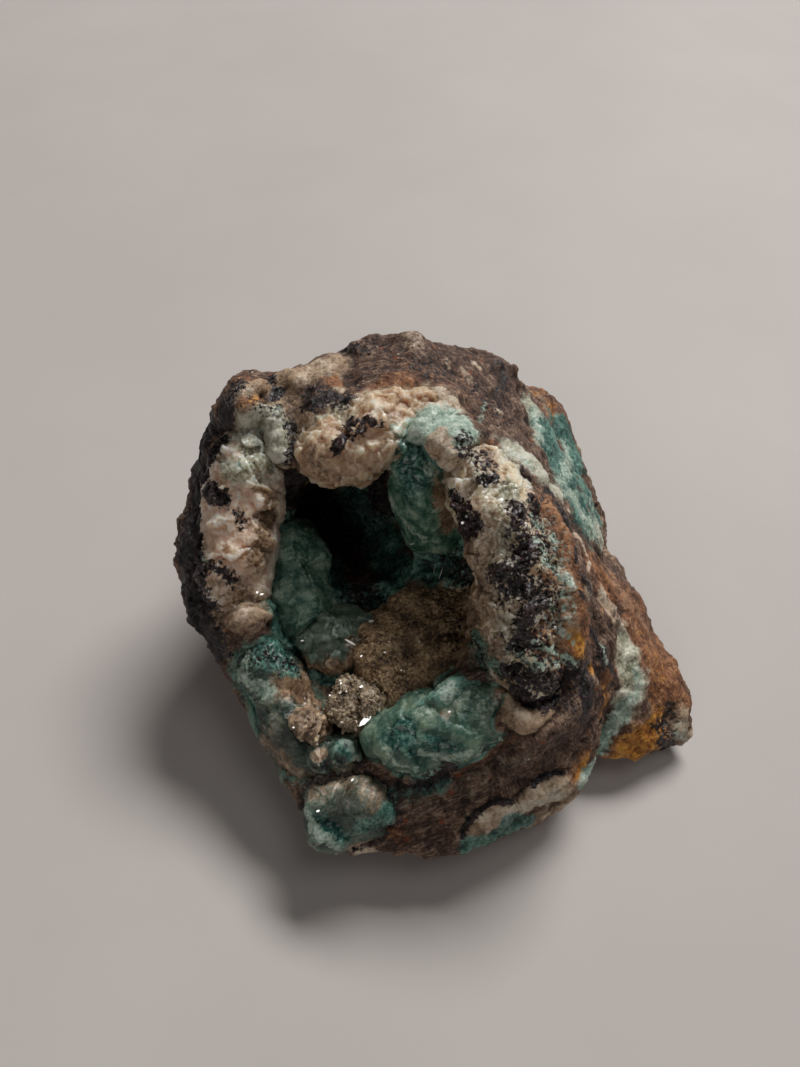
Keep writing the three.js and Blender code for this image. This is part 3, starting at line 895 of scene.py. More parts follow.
@dataclass(frozen=True)
class Coat:
    """How one mineral looks where it coats something.

    Args:
        mineral: the mineral.
        shades: its colours, dark to light.
        length: the size of the ragged bits at its edge.
        rag: how ragged the edge is.
        shine: how much smoother than the rock it is.
        fade: how gently it thins out at its edge.
    """

    mineral: Mineral
    shades: tuple[int, ...]
    length: float
    rag: float
    shine: float
    fade: float = 0.11

    EDGE = 0.41  # the amount of the mineral at which its coat begins

    def cover(self, weaver: Weaver) -> bpy.types.NodeSocket:
        """Tell where the coat lies.

        Args:
            weaver: what the material is built with.

        Returns:
            1 where it lies and 0 where it does not.
        """
        about = weaver.math("SUBTRACT", weaver.noise(self.length, 5.0), 0.5)
        there = weaver.math("MULTIPLY_ADD", about, self.rag, weaver.attribute(self.mineral.value))
        return weaver.rise(there, self.EDGE - self.fade, self.EDGE + self.fade)


COATS = (
    Coat(RUST, (0x422A1A, 0x865638, 0xBA865C), 1.1, 1.1, 0.1, 0.24),
    Coat(OCHRE, (0x74441A, 0xB8762C, 0xE0A448), 0.9, 0.9, 0.1, 0.2),
    Coat(TAN, (0x5A4636, 0x927860, 0xC2A486), 0.7, 0.8, 0.1, 0.2),
    Coat(CREAM, (0x947A62, 0xC4AA90, 0xE6D6C0), 0.8, 0.7, 0.15, 0.2),
    Coat(MIST, (0x7E7C66, 0xB4B29C, 0xE2E0D0), 1.4, 0.6, 0.3, 0.26),
    Coat(TEAL, (0x143230, 0x38675E, 0x7FAA9A), 1.1, 0.7, 0.3, 0.2),
    Coat(PALE, (0x748E7E, 0xA8BEAC, 0xDAE6D8), 0.6, 1.2, 0.25, 0.16),
    # Dark grains; many of its strokes use this coat to paint shade.
    Coat(DARK, (0x090606, 0x1B1315, 0x443638), 0.5, 1.5, 0.3),
)


@dataclass(frozen=True)
class Fleck:
    """Small spots of another colour.

    Args:
        colour: their colour.
        size: their size, in millimetres.
        share: the share of places that has one.
    """

    colour: int
    size: float
    share: float


@dataclass(frozen=True)
class Finish:
    """The look of one piece's own mineral. Each gain says how much a pattern darkens and lightens it.

    Args:
        name: the material's name.
        shades: its colours, dark to light.
        patch: the size of its patches, in millimetres.
        patchy: the patches' gain.
        grainy: the fine grain's gain.
        strandy: the fibres' gain.
        crested: the gain of painted shade in creases and painted light on crests.
        hairs: how strongly fine light fibres show.
        grit: the height of its fine grit, in millimetres.
        facet: the size of its crystal faces, or 0 for none.
        slope: how steeply the faces lean.
        roughness: how matt it is.
        depth: how far light goes into it, in millimetres, or 0 for not at all.
        glow: how far each colour of light goes, as a share of that.
        glints: the share of crystal faces that shine.
        flecks: the spots on it.
    """

    name: str
    shades: tuple[int, ...]
    patch: float = 2.4
    patchy: float = 1.4
    grainy: float = 0.7
    strandy: float = 0.5
    crested: float = 0.5
    hairs: float = 0.0
    grit: float = 0.08
    facet: float = 0.0
    slope: float = 0.0
    roughness: float = 0.6
    depth: float = 0.0
    glow: tuple[float, float, float] = (0.85, 1.0, 0.9)
    glints: float = 0.0
    flecks: tuple[Fleck, ...] = ()

    GRAIN, STRAND = 0.42, 0.26  # the sizes of the fine grain and of the fibres
    RAMP, COAT_RAMP = (0.2, 0.8), (0.25, 0.75)  # the tones of the darkest and the lightest shade
    HAIR = (0.03, 0.0)  # how far from a fibre's middle a hair starts, and where it is full
    HAIRY = (0.42, 0.6)  # the patches where hairs start to show, and where they are full
    COAT_GAINS = (0.9, 0.9, 0.5, 0.8)  # a coat's patchy, grainy, strandy and crest-shade gains; the last paints shade in creases and light on crests
    SHED = -0.8  # what a coat does to the fibres' height
    DARK_GRAINS = (0.5, 0.9)  # the size and the slope of the dark coat's grains
    FUR = (0.04, 0.16)  # the fibres' height, and what the strandy gain adds to it
    FINER = 0.4  # the size of the finer facets, for the facets'
    GLINT, STEP, SHINE = 0.55, 0.01, 0.4  # the shining faces' size, sharpness and smoothness
    CLEAREST = 0.1  # the lowest roughness
    CLOUD = 0.85  # how much of the light goes in

    def material(self) -> bpy.types.Material:
        """Build the material.

        Returns:
            The material, with every coat that may lie on it.
        """
        weaver = Weaver(self.name)
        patches, fine = weaver.noise(self.patch), weaver.noise(self.GRAIN, 5.0)
        strands = weaver.noise(self.STRAND, 4.0, weaver.attribute("grain", "Vector"))
        # The crest pattern paints shade in creases and light on crests.
        patterns = (patches, fine, strands, weaver.attribute("crest"))
        colour = self._bare_colour(weaver, patterns)
        tone = weaver.mixed(patterns, self.COAT_GAINS)
        covers = {coat: coat.cover(weaver) for coat in COATS}
        rough, furred = self.roughness, strands
        for coat, cover in covers.items():
            colour = weaver.blend(cover, colour, weaver.shades(tone, *self.COAT_RAMP, coat.shades))
            rough = weaver.math("SUBTRACT", rough, weaver.math("MULTIPLY", cover, coat.shine))
            if coat.mineral not in (RUST, DARK):
                left = weaver.math("MULTIPLY_ADD", cover, self.SHED, 1.0)
                furred = weaver.math("MULTIPLY", furred, left)
        dark_cover = covers[COATS[-1]]
        grains = weaver.math("MULTIPLY", weaver.facets(*self.DARK_GRAINS), dark_cover)
        height = weaver.math("MULTIPLY_ADD", fine, self.grit * MM, grains)
        fur, more = self.FUR
        height = weaver.math("MULTIPLY_ADD", furred, (fur + more * self.strandy) * MM, height)
        if self.facet:
            for size in (self.facet, self.facet * self.FINER):
                height = weaver.math("ADD", height, weaver.facets(size, self.slope))
            shiny = weaver.chosen(weaver.cells(self.facet * self.GLINT), self.glints, self.STEP)
            rough = weaver.math("SUBTRACT", rough, weaver.math("MULTIPLY", shiny, self.SHINE))
        rough = weaver.math("MAXIMUM", rough, self.CLEAREST)
        feed(weaver.shader, {"Base Color": colour, "Roughness": rough, "Normal": weaver.bump(height)})
        if self.depth:
            light = {"Weight": self.CLOUD, "Scale": self.depth * MM, "Radius": self.glow}
            feed(weaver.shader, {f"Subsurface {name}": value for name, value in light.items()})
        return weaver.material

    def _bare_colour(self, weaver: Weaver, patterns: tuple[object, ...]) -> bpy.types.NodeSocket:
        """Colour the mineral itself.

        Args:
            weaver: what the material is built with.
            patterns: the patches, the fine grain, the fibres and the crests, which paint shade in creases and
                light on crests.

        Returns:
            Its colour before any coat.
        """
        gains = (self.patchy, self.grainy, self.strandy, self.crested)
        colour = weaver.shades(weaver.mixed(patterns, gains), *self.RAMP, self.shades)
        for fleck in self.flecks:
            colour = weaver.blend(weaver.spots(fleck.size, fleck.share), colour, linear(fleck.colour))
        if self.hairs:
            patches, _, strands, _ = patterns
            away = weaver.math("ABSOLUTE", weaver.math("SUBTRACT", strands, 0.5))
            thin = weaver.math("MULTIPLY", weaver.rise(away, *self.HAIR), weaver.rise(patches, *self.HAIRY))
            amount = weaver.math("MULTIPLY", thin, self.hairs)
            colour = weaver.blend(amount, colour, linear(self.shades[-1]))
        return colour


# ---- Small crystals, made with Geometry Nodes ----


@dataclass(frozen=True)
class Crop:
    """How small crystals stand on a surface.

    Args:
        density: how many there are to a square millimetre.
        shortest: the shortest, in millimetres.
        longest: the longest.
        width: their width as a share of their length.
        lean: how far they lean, in radians.
        flatness: their thickness as a share of their width.
        seed: which random crop it is.
    """

    density: float
    shortest: float
    longest: float
    width: float
    lean: float
    flatness: float
    seed: int


class CrystalTree:
    """A Geometry Nodes tree that grows small crystals on a surface."""

    SIDES, TIP, BASE = 5, 0.32, 0.55  # a crystal's sides, and its radii for its length
    SINK = -0.45  # how deep it stands in the surface, for its length
    LEAN_SALT, LENGTH_SALT = 3.0, 7.0  # what sets each random draw apart from the others

    def __init__(self) -> None:
        """Build the tree."""
        self.tree = bpy.data.node_groups.new("small_crystals", "GeometryNodeTree")
        sockets = dict.fromkeys(("Density", "Shortest", "Longest", "Width", "Lean", "Flatness"), "Float")
        sockets = {"Geometry": "Geometry", **sockets, "Seed": "Int", "Material": "Material"}
        for name, kind in sockets.items():
            self.tree.interface.new_socket(name, in_out="INPUT", socket_type=f"NodeSocket{kind}")
        self.tree.interface.new_socket("Geometry", in_out="OUTPUT", socket_type="NodeSocketGeometry")
        given = add_node(self.tree, "NodeGroupInput", {}).outputs
        spread = self._spread(given)
        crystal = self._crystal()
        upright = self._add("FunctionNodeAlignRotationToVector", {"Vector": spread["Normal"]})
        tilt = self._random(given["Seed"], self.LEAN_SALT, vector=True)
        lean = self._add("ShaderNodeVectorMath", {0: tilt, "Scale": given["Lean"]}, operation="SCALE")
        turn = {"Rotation": upright, "Rotate By": self._add("FunctionNodeEulerToRotation", {0: lean})}
        turned = self._add("FunctionNodeRotateRotation", turn, rotation_space="LOCAL")
        ends = {"To Min": given["Shortest"], "To Max": given["Longest"]}
        drawn = self._random(given["Seed"], self.LENGTH_SALT, vector=False)
        length = self._add("ShaderNodeMapRange", {"Value": drawn, **ends})
        wide = self._times(length, given["Width"])
        thick = self._times(wide, given["Flatness"])
        size = self._add("ShaderNodeCombineXYZ", {"X": wide, "Y": thick, "Z": length})
        where = {"Points": spread["Points"], "Rotation": turned, "Scale": size}
        placed = self._add("GeometryNodeInstanceOnPoints", {"Instance": crystal, **where})
        real = self._add("GeometryNodeRealizeInstances", {"Geometry": placed})
        done = self._add("GeometryNodeSetMaterial", {"Geometry": real, "Material": given["Material"]})
        add_node(self.tree, "NodeGroupOutput", {0: done})

    def _add(self, kind: str, inputs: Inputs, **settings: object) -> bpy.types.NodeSocket:
        """Add a node and return its first output."""
        return add_node(self.tree, kind, inputs, **settings).outputs[0]

    def _times(self, first: bpy.types.NodeSocket, second: bpy.types.NodeSocket) -> bpy.types.NodeSocket:
        """Multiply two numbers."""
        return self._add("ShaderNodeMath", {0: first, 1: second}, operation="MULTIPLY")

    def _spread(self, given: bpy.types.bpy_prop_collection) -> bpy.types.bpy_prop_collection:
        """Scatter the points that the crystals stand on.

        Args:
            given: the tree's inputs.

        Returns:
            The outputs with the points and their normals.
        """
        druse = add_node(self.tree, "GeometryNodeInputNamedAttribute", {"Name": "druse"})
        density = self._times(given["Density"], druse.outputs["Attribute"])
        inputs = {"Mesh": given["Geometry"], "Density": density, "Seed": given["Seed"]}
        return add_node(self.tree, "GeometryNodeDistributePointsOnFaces", inputs).outputs

    def _crystal(self) -> bpy.types.NodeSocket:
        """Shape one crystal of length 1, partly sunk."""
        shape = {"Vertices": self.SIDES, "Radius Top": self.TIP, "Radius Bottom": self.BASE, "Depth": 1.0}
        cone = add_node(self.tree, "GeometryNodeMeshCone", shape).outputs["Mesh"]
        return self._add("GeometryNodeTransform", {"Geometry": cone, "Translation": (0, 0, self.SINK)})

    def _random(self, seed: bpy.types.NodeSocket, salt: float, vector: bool) -> bpy.types.NodeSocket:
        """Draw at random.

        Args:
            seed: the crop's seed.
            salt: what sets the draw apart from others.
            vector: whether it is a vector from -1 to 1, and not a number from 0 to 1.

        Returns:
            What is drawn.
        """
        kind, wanted = ("FLOAT_VECTOR", "VECTOR") if vector else ("FLOAT", "VALUE")
        ends = {"Min": (-1, -1, -1), "Max": (1, 1, 1)} if vector else {}
        salted = self._add("ShaderNodeMath", {0: seed, 1: salt}, operation="ADD")
        node = add_node(self.tree, "FunctionNodeRandomValue", {**ends, "Seed": salted}, data_type=kind)
        return next(socket for socket in node.outputs if socket.enabled and socket.type == wanted)

    def grow(
        self, ground: bpy.types.Mesh, crops: tuple[Crop, ...], material: bpy.types.Material
    ) -> bpy.types.Mesh:
        """Grow crystals on a surface.

        Args:
            ground: the surface, with its druse attribute.
            crops: how many there are, and of what size.
            material: what they are made of.

        Returns:
            The crystals as one plain mesh.
        """
        holder = bpy.data.objects.new("ground", ground)
        bpy.context.scene.collection.objects.link(holder)
        all_grown = bmesh.new()
        for crop in crops:
            modifier = holder.modifiers.new("crystals", "NODES")
            modifier.node_group = self.tree
            wanted = {name.title(): value for name, value in asdict(crop).items()}
            wanted |= {"Density": crop.density / MM**2, "Material": material}
            wanted |= {"Shortest": crop.shortest * MM, "Longest": crop.longest * MM}
            for item in self.tree.interface.items_tree:
                if item.in_out == "INPUT" and item.name in wanted:
                    modifier[item.identifier] = wanted[item.name]
            graph = bpy.context.evaluated_depsgraph_get()
            grown = bpy.data.meshes.new_from_object(holder.evaluated_get(graph))
            all_grown.from_mesh(grown)
            bpy.data.meshes.remove(grown)
            holder.modifiers.clear()
        bpy.data.objects.remove(holder)
        mesh = bpy.data.meshes.new("crystals")
        all_grown.to_mesh(mesh)
        all_grown.free()
        mesh.materials.append(material)
        return mesh


# ---- The rock and its growths ----


@dataclass(frozen=True)
class Halo:
    """A coat that a growth lays on the rock round it; a dark one is painted shade where the growth meets the
    rock.

    Args:
        mineral: what it is made of.
        reach: how far it spreads.
        strength: how much of it there is beside the growth.
    """

    mineral: Mineral
    reach: float
    strength: float = 0.9


WARP = 0.9  # how far knobs and faces are bent out of shape


@dataclass
class Growth:
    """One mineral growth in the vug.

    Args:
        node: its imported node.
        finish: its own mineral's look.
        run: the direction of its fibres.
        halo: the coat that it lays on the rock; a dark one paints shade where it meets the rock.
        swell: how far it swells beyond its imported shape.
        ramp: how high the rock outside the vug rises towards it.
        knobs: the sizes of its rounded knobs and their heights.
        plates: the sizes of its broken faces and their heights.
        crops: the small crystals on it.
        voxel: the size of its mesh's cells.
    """

    node: str
    finish: Finish
    run: Point
    halo: Halo
    swell: float = 0.4
    ramp: float = 0.0
    knobs: Sizes = ((5.2, 1.0),)
    plates: Sizes = ((2.8, 0.36), (1.3, 0.16), (0.6, 0.06))
    crops: tuple[Crop, ...] = ()
    voxel: float = 0.2

    ROUNDS = 8  # the rounds of smoothing that it gets
    WAVES = (2.4, 3, 0.25)  # the size, octaves and height of its waves
    SPECKS = (0.8, 0.4)  # the size and height of the dark coat's knobs

    def build(self, minerals: MineralMap) -> Surface:
        """Shape the growth's surface.

        Args:
            minerals: where the coats lie.

        Returns:
            The surface, with its attributes.
        """
        surface = Surface(self.node, self.voxel * (1), self.ROUNDS)
        points = surface.points
        noise = Noise(sum(map(ord, self.node)))
        warped = points + WARP * noise.drift(points)
        height = np.full(len(points), self.swell)
        for size, tall in self.knobs:
            height += tall * (noise.domes(warped, size) - 0.5)
        for size, tall in self.plates:
            height += tall * noise.plates(warped, size)
        surface.relief(height + noise.waves(points, *self.WAVES))
        weights = minerals.weights(surface.points, GROWTH)
        size, tall = self.SPECKS
        surface.push(tall * weights[DARK] * noise.domes(surface.points, size))
        surface.dress(np.array([self.run], float), weights, noise)
        return surface


@dataclass
class HostRock:
    """The brown rock that carries the growths."""

    node: str = "host_rock"
    voxel: float = 0.45
    rounds: int = 4
    rounds_again: int = 2
    finish: Finish = Finish(
        "goethite_rock",
        (0x281B16, 0x50392E, 0x725848, 0x9E8470),
        patch=2.8,
        patchy=0.9,
        grainy=0.8,
        strandy=1.4,
        crested=0.6,
        grit=0.14,
        facet=0.9,
        slope=0.24,
        roughness=0.75,
        glints=0.02,
        flecks=(Fleck(0x8A4A2C, 1.5, 0.2), Fleck(0xC9BDAE, 0.6, 0.05), Fleck(0x241A18, 1.0, 0.12)),
    )

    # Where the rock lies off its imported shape, how far round that, and which way and how far it lies.
    SLUMP = ((3.5, -16.5, 28.0), (6.5, -18.5, 27.5), (7.5, -20.5, 25.5))
    SLUMP_REACH, SLUMP_STEP = 7.5, np.array([(0.5, 0.5, -6.5)])
    VUG = np.array((-6.0, -3.0, 22.0))  # the middle of the vug
    INSIDE, RIM = 15, 4  # the radius of the vug, and the width of its rim
    LIP = (2.6, 0.9, 0.4)  # the lip's reach, its height in the vug, and how much lower it is outside
    RAMP = 5.5  # how far from a growth the rock starts to rise
    CARVED_REACH = 1.4  # how far a carving runs out, for its reach
    RIDGE_RUN = np.array([(0.5, -0.75, -0.44)])  # the fibres' direction on the right
    FRONT_RUN = np.array([(0.91, 0.35, 0.25)])  # and in front
    RIGHT, LEANING, ENDS = 17.5, 0.35, (-30, 10)  # where the right begins, and how it slants with y
    FRONT, SLANT = -16, 0.3  # where the front begins, and how it slants with x
    KEEP = 0.12  # how much of the length is kept along a fibre
    # The parts of the relief: a size, the octaves where it has some, and a height.
    SWELLS, FIBRES, FINE = (6.0, 3, 0.38), (2.0, 3, 0.32), (0.95, 2, 0.1)
    FACES, CRUST_FACES = ((2.9, 0.24), (1.3, 0.14)), ((2.4, 0.36), (1.2, 0.2))
    KNOBS, WAVES, PITS = (4.4, 0.5), (2.4, 3, 0.35), (1.1, 0.5)
    WORN = 0.5  # how much flatter the rock's faces are under rust
    THINNER, FLATTER = 0.2, 0.55  # how much thinner and flatter crust is outside the vug
    THICK = 0.3  # how thick crust is

    def build(self, minerals: MineralMap, growths: tuple[Growth, ...], trees: dict[str, BVHTree]) -> Surface:
        """Shape the rock's surface.

        Args:
            minerals: where the coats lie.
            growths: the growths on it.
            trees: each growth's surface.

        Returns:
            The surface, with its attributes.
        """
        surface = Surface(self.node, self.voxel * (1), self.rounds)
        near = falloff(near_path(surface.points, self.SLUMP), self.SLUMP_REACH)
        surface.move(near[:, None] * self.SLUMP_STEP)
        surface.push(self._lip(surface.points, growths, trees))
        surface.remesh(self.rounds_again)
        for carving in CARVINGS:
            away = near_path(surface.points, carving.path)
            surface.push(carving.push * falloff(away, carving.reach * self.CARVED_REACH))
        weights = minerals.weights(surface.points, HOST)
        for growth in growths:
            halo = growth.halo
            beside = falloff(distances(trees[growth.node], surface.points, halo.reach), halo.reach)
            np.maximum(weights[halo.mineral], halo.strength * beside, out=weights[halo.mineral])
        run = self._run(surface.points)
        noise = Noise(5)
        surface.relief(self._height(surface.points, run, weights, noise))
        surface.dress(run, weights, noise)
        return surface

    def _outside(self, points: np.ndarray) -> np.ndarray:
        """Return 0 inside the vug, rising to 1 outside its rim."""
        return np.clip((np.linalg.norm(points - self.VUG, axis=1) - self.INSIDE) / self.RIM, 0, 1)

    def _lip(self, points: np.ndarray, growths: tuple[Growth, ...], trees: dict[str, BVHTree]) -> np.ndarray:
        """Work out how high the rock rises towards its growths.

        Args:
            points: where, one row each.
            growths: the growths on it.
            trees: each growth's surface.

        Returns:
            One height a point.
        """
        reach, tall, drop = self.LIP
        outside = self._outside(points)
        lip = np.zeros(len(points))
        for growth in growths:
            away = distances(trees[growth.node], points, self.RAMP)
            near, far = falloff(away, reach), falloff(away, self.RAMP)
            np.maximum(lip, near * (tall - drop * outside) + outside * growth.ramp * far, out=lip)
        return lip

    def _run(self, points: np.ndarray) -> np.ndarray:
        """Tell which way the rock's fibres run.

        Args:
            points: where, one row each.

        Returns:
            One direction a point: out from the vug, or along the rock on the right and in front.
        """
        x, y, _ = points.T
        right = x - self.RIGHT - self.LEANING * y.clip(*self.ENDS) > 0
        front = (y < self.FRONT - self.SLANT * x) & ~right
        run = np.where(right[:, None], self.RIDGE_RUN, points - self.VUG)
        return np.where(front[:, None], self.FRONT_RUN, run)

    def _height(
        self, points: np.ndarray, run: np.ndarray, weights: dict[Mineral, np.ndarray], noise: Noise
    ) -> np.ndarray:
        """Work out the rock's fine relief: rough where it is bare, and knobbly where it is crusted.

        Args:
            points: where, one row each.
            run: the fibres' direction, one a point.
            weights: how much of each mineral there is, one value a point.
            noise: the rock's own noise.

        Returns:
            One height a point.
        """
        outside = self._outside(points)
        warped = points + WARP * noise.drift(points)
        grain = grain_along(points, run, self.KEEP)
        rough = noise.waves(points, *self.SWELLS)
        *fibres, tall = self.FIBRES
        rough += tall * (noise.ridged(grain, *fibres) - 0.6)
        rough += noise.broken(warped, self.FACES) * (1 - self.WORN * weights[RUST])
        rough += noise.waves(points, *self.FINE)
        size, tall = self.KNOBS
        crust = tall * noise.domes(warped, size) - 0.2 + noise.waves(points, *self.WAVES)
        crust += noise.broken(warped, self.CRUST_FACES)
        crusted = (weights[CREAM] + weights[TAN]) * (1 - self.THINNER * outside) + weights[MIST]
        soft = np.clip(crusted + weights[TEAL] + 0.6 * weights[PALE], 0, 1)
        height = rough * (1 - soft) + (crust * (1 - self.FLATTER * outside) + self.THICK) * soft
        size, tall = self.PITS
        return height + tall * weights[DARK] * (noise.domes(points, size) - 0.4)


DRUSE = (Crop(1.6, 0.35, 0.8, 0.9, 0.9, 0.8, 3), Crop(4.0, 0.2, 0.4, 0.9, 1.0, 0.9, 9))
FEW = (Crop(0.4, 0.4, 0.9, 0.8, 0.8, 0.8, 4), Crop(0.8, 0.2, 0.4, 0.9, 1.0, 0.9, 8))
SAND = (Crop(9.0, 0.14, 0.3, 0.9, 1.0, 1.0, 5),)
TEAL_LOOK = Finish(
    "teal", (), patch=2.6, patchy=1.2, grainy=0.35, strandy=0.4, crested=0.25, hairs=0.4, grit=0.01,
    facet=0.9, slope=0.16, roughness=0.24, depth=5.0, glints=0.05,
)
CRUST_LOOK = Finish(
    "crust", (), patch=3.2, patchy=1.3, grainy=0.4, facet=0.8, slope=0.28, depth=3.6,
    glow=(1.0, 0.75, 0.55), glints=0.14,
)
CRYSTAL_LOOK = Finish(
    "crystal", (), grit=0.04, facet=0.5, slope=0.4, roughness=0.34, depth=1.4, glints=0.16
)


def teal(
    node: str, name: str, shades: tuple[int, ...], run: Point, halo: Halo, **changes: float
) -> Growth:
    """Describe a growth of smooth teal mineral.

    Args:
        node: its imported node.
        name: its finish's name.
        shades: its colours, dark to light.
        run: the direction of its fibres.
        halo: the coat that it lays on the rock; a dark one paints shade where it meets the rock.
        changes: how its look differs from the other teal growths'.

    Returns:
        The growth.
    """
    finish = replace(TEAL_LOOK, name=name, shades=shades, **changes)
    return Growth(node, finish, run, halo, knobs=((5.2, 0.55), (2.4, 0.16)), plates=((2.9, 0.2), (1.4, 0.09)))


GROWTHS = (
    teal(
        "hanging_teal_curtain", "pale_teal_mineral", (0x1B4237, 0x43705F, 0x769A86, 0xB8CAB2),
        (0.1, 0.35, 1.0), Halo(TEAL, 3.0), patch=2.4, patchy=1.4, hairs=0.6,
    ),
    teal(
        "front_teal_bank", "blue_green_mineral", (0x24504A, 0x4A6E61, 0x748E7A, 0xA6BA9E),
        (1.0, 0.2, 0.3), Halo(TEAL, 0.8, 0.6), crested=0.2, hairs=0.6, slope=0.14,
    ),
    teal(
        "left_teal_wall", "deep_teal_mineral", (0x1A4034, 0x446E60, 0x769686, 0xB0C4AE),
        (0.2, -0.3, 1.0), Halo(TEAL, 4.0), patch=2.4, patchy=1.4, grainy=0.4, strandy=0.5, hairs=0.8,
    ),
    # Its dark halo paints the shade where the toe meets the rock.
    teal(
        "teal_toe_lobe", "grey_teal_mineral", (0x2A3A34, 0x4C5E54, 0x747F74, 0xA0A498),
        (0.3, -0.4, 1.0), Halo(DARK, 1.2, 0.5), grainy=0.4, strandy=0.5, crested=0.3, slope=0.18,
        roughness=0.26, depth=4.4,
    ),
    # Its shades are far darker than its pale crust: they paint the shade that this rim lies in.
    teal(
        "lower_left_rim", "pale_blue_green_crust", (0x122422, 0x26382F, 0x3E4F46, 0x5E6F63),
        (0.3, -1.0, 0.3), Halo(TEAL, 2.2, 0.5), roughness=0.26, depth=4.4,
    ),
    # Its shades are partly the crust's own pale colour and partly painted light: they are raised to show the
    # light that falls on this rim.
    Growth(
        "left_rim_crust",
        replace(CRUST_LOOK, name="cream_grey_crust", shades=(0xBE9C80, 0xE4C6AC, 0xF2DAC6, 0xFCF2E6),
                patchy=1.2, strandy=0.7, crested=0.45, grit=0.04, roughness=0.36),
        (-0.4, 0.2, 1.0), Halo(CREAM, 0.5, 0.4), swell=0.1, ramp=2.2, knobs=((5.2, 0.7),),
    ),
    Growth(
        "cream_rim_lobes",
        replace(CRUST_LOOK, name="cream_crust", shades=(0x8E6C52, 0xC09E80, 0xDAC0A2, 0xF2E2CC),
                strandy=0.3, crested=0.6, grit=0.03, facet=0.9, slope=0.2, roughness=0.34),
        (0.0, 1.0, 0.2), Halo(CREAM, 1.0, 0.5), swell=0.3, ramp=0.9,
        knobs=((6.0, 0.8), (3.0, 0.55)), plates=((2.6, 0.34), (1.2, 0.16)),
    ),
    Growth(
        "right_rim_crust",
        replace(CRUST_LOOK, name="mottled_green_crust", shades=(0xC4A884, 0xE8D4B4, 0xF4E8D2, 0xFCF8EC),
                patch=2.8, grit=0.05, roughness=0.38, depth=3.0, glow=(1.0, 0.8, 0.6)),
        (0.6, -0.2, 1.0), Halo(CREAM, 0.6, 0.4), swell=0.0, ramp=2.3, knobs=((4.4, 0.8),),
    ),
    Growth(
        "tan_vug_floor",
        Finish("tan_druse", (0x3A2B1E, 0x765E44, 0xA08564, 0xD0B48C), grainy=1.5, grit=0.16, facet=0.3,
               slope=0.5, roughness=0.5, glints=0.1),
        (1.0, 0.0, 0.0), Halo(TAN, 4.0), knobs=((9.0, 1.7), (3.0, 0.3)), plates=((2.3, 0.2),), crops=SAND,
    ),
    Growth(
        "grey_green_block",
        Finish("grey_green_mineral", (0x26362E, 0x485A4F, 0x6A7A6C, 0x96A08E), patch=2.6, patchy=1.0,
               grainy=0.3, crested=0.3, hairs=0.3, grit=0.02, facet=0.9, slope=0.16, roughness=0.3,
               depth=3.6, glints=0.06),
        (0.0, 1.0, 0.2), Halo(TEAL, 3.0), knobs=((4.0, 0.9), (2.0, 0.3)), plates=((2.6, 0.4), (1.4, 0.15)),
    ),
    Growth(
        "pale_crystal_cluster",
        replace(CRYSTAL_LOOK, name="pale_tan_crystal", shades=(0x4A3C2E, 0x7C6A54, 0xAA957A, 0xD6C6A8),
                patch=1.6),
        (0.3, 1.0, 0.4), Halo(TAN, 2.0), crops=DRUSE,
    ),
    Growth(
        "tan_rosette",
        replace(CRYSTAL_LOOK, name="tan_rosette_crystal", shades=(0x443326, 0x76604C, 0xA48A70, 0xCEB898),
                patch=1.4),
        (0.3, 1.0, 0.4), Halo(TAN, 1.6), knobs=((2.4, 0.7),), crops=FEW,
    ),
    # Its dark halo paints the shade where the bead meets the rock.
    Growth(
        "teal_bead",
        Finish("teal_bead_mineral", (0x141F1B, 0x2F3F38, 0x52645B, 0x8E9A8E), patch=1.6, grainy=0.3,
               crested=0.8, hairs=0.3, grit=0.02, facet=0.6, slope=0.2, roughness=0.32, depth=1.4,
               glints=0.06),
        (0.5, -1.0, 0.3), Halo(DARK, 1.0, 0.6), knobs=((2.4, 0.6),),
    ),
)


@dataclass(frozen=True)
class Blade:
    """A thin bright crystal.

    Args:
        place: its middle.
        along: which way it is long.
        up: which way its face looks.
        length: its length.
        width: its width.
    """

    place: Point
    along: Point
    up: Point
    length: float
    width: float

    HALF_THICK = 0.08
    OUTLINE = ((-1.0, 0.0), (-0.5, -0.9), (0.35, -1.0), (1.0, -0.15), (0.45, 1.0), (-0.6, 0.7))

    def corners(self) -> np.ndarray:
        """Work out where its corners are.

        Returns:
            The twelve corners of its two six-sided faces, in metres.
        """
        up = np.array(self.up) / np.linalg.norm(self.up)
        along = np.array(self.along) - np.dot(self.along, up) * up
        along /= np.linalg.norm(along)
        across = np.cross(up, along)
        flat = [x * self.length / 2 * along + y * self.width / 2 * across for x, y in self.OUTLINE]
        shifts = (self.HALF_THICK * up, -self.HALF_THICK * up)
        return np.array([self.place + shift + point for shift in shifts for point in flat]) * MM


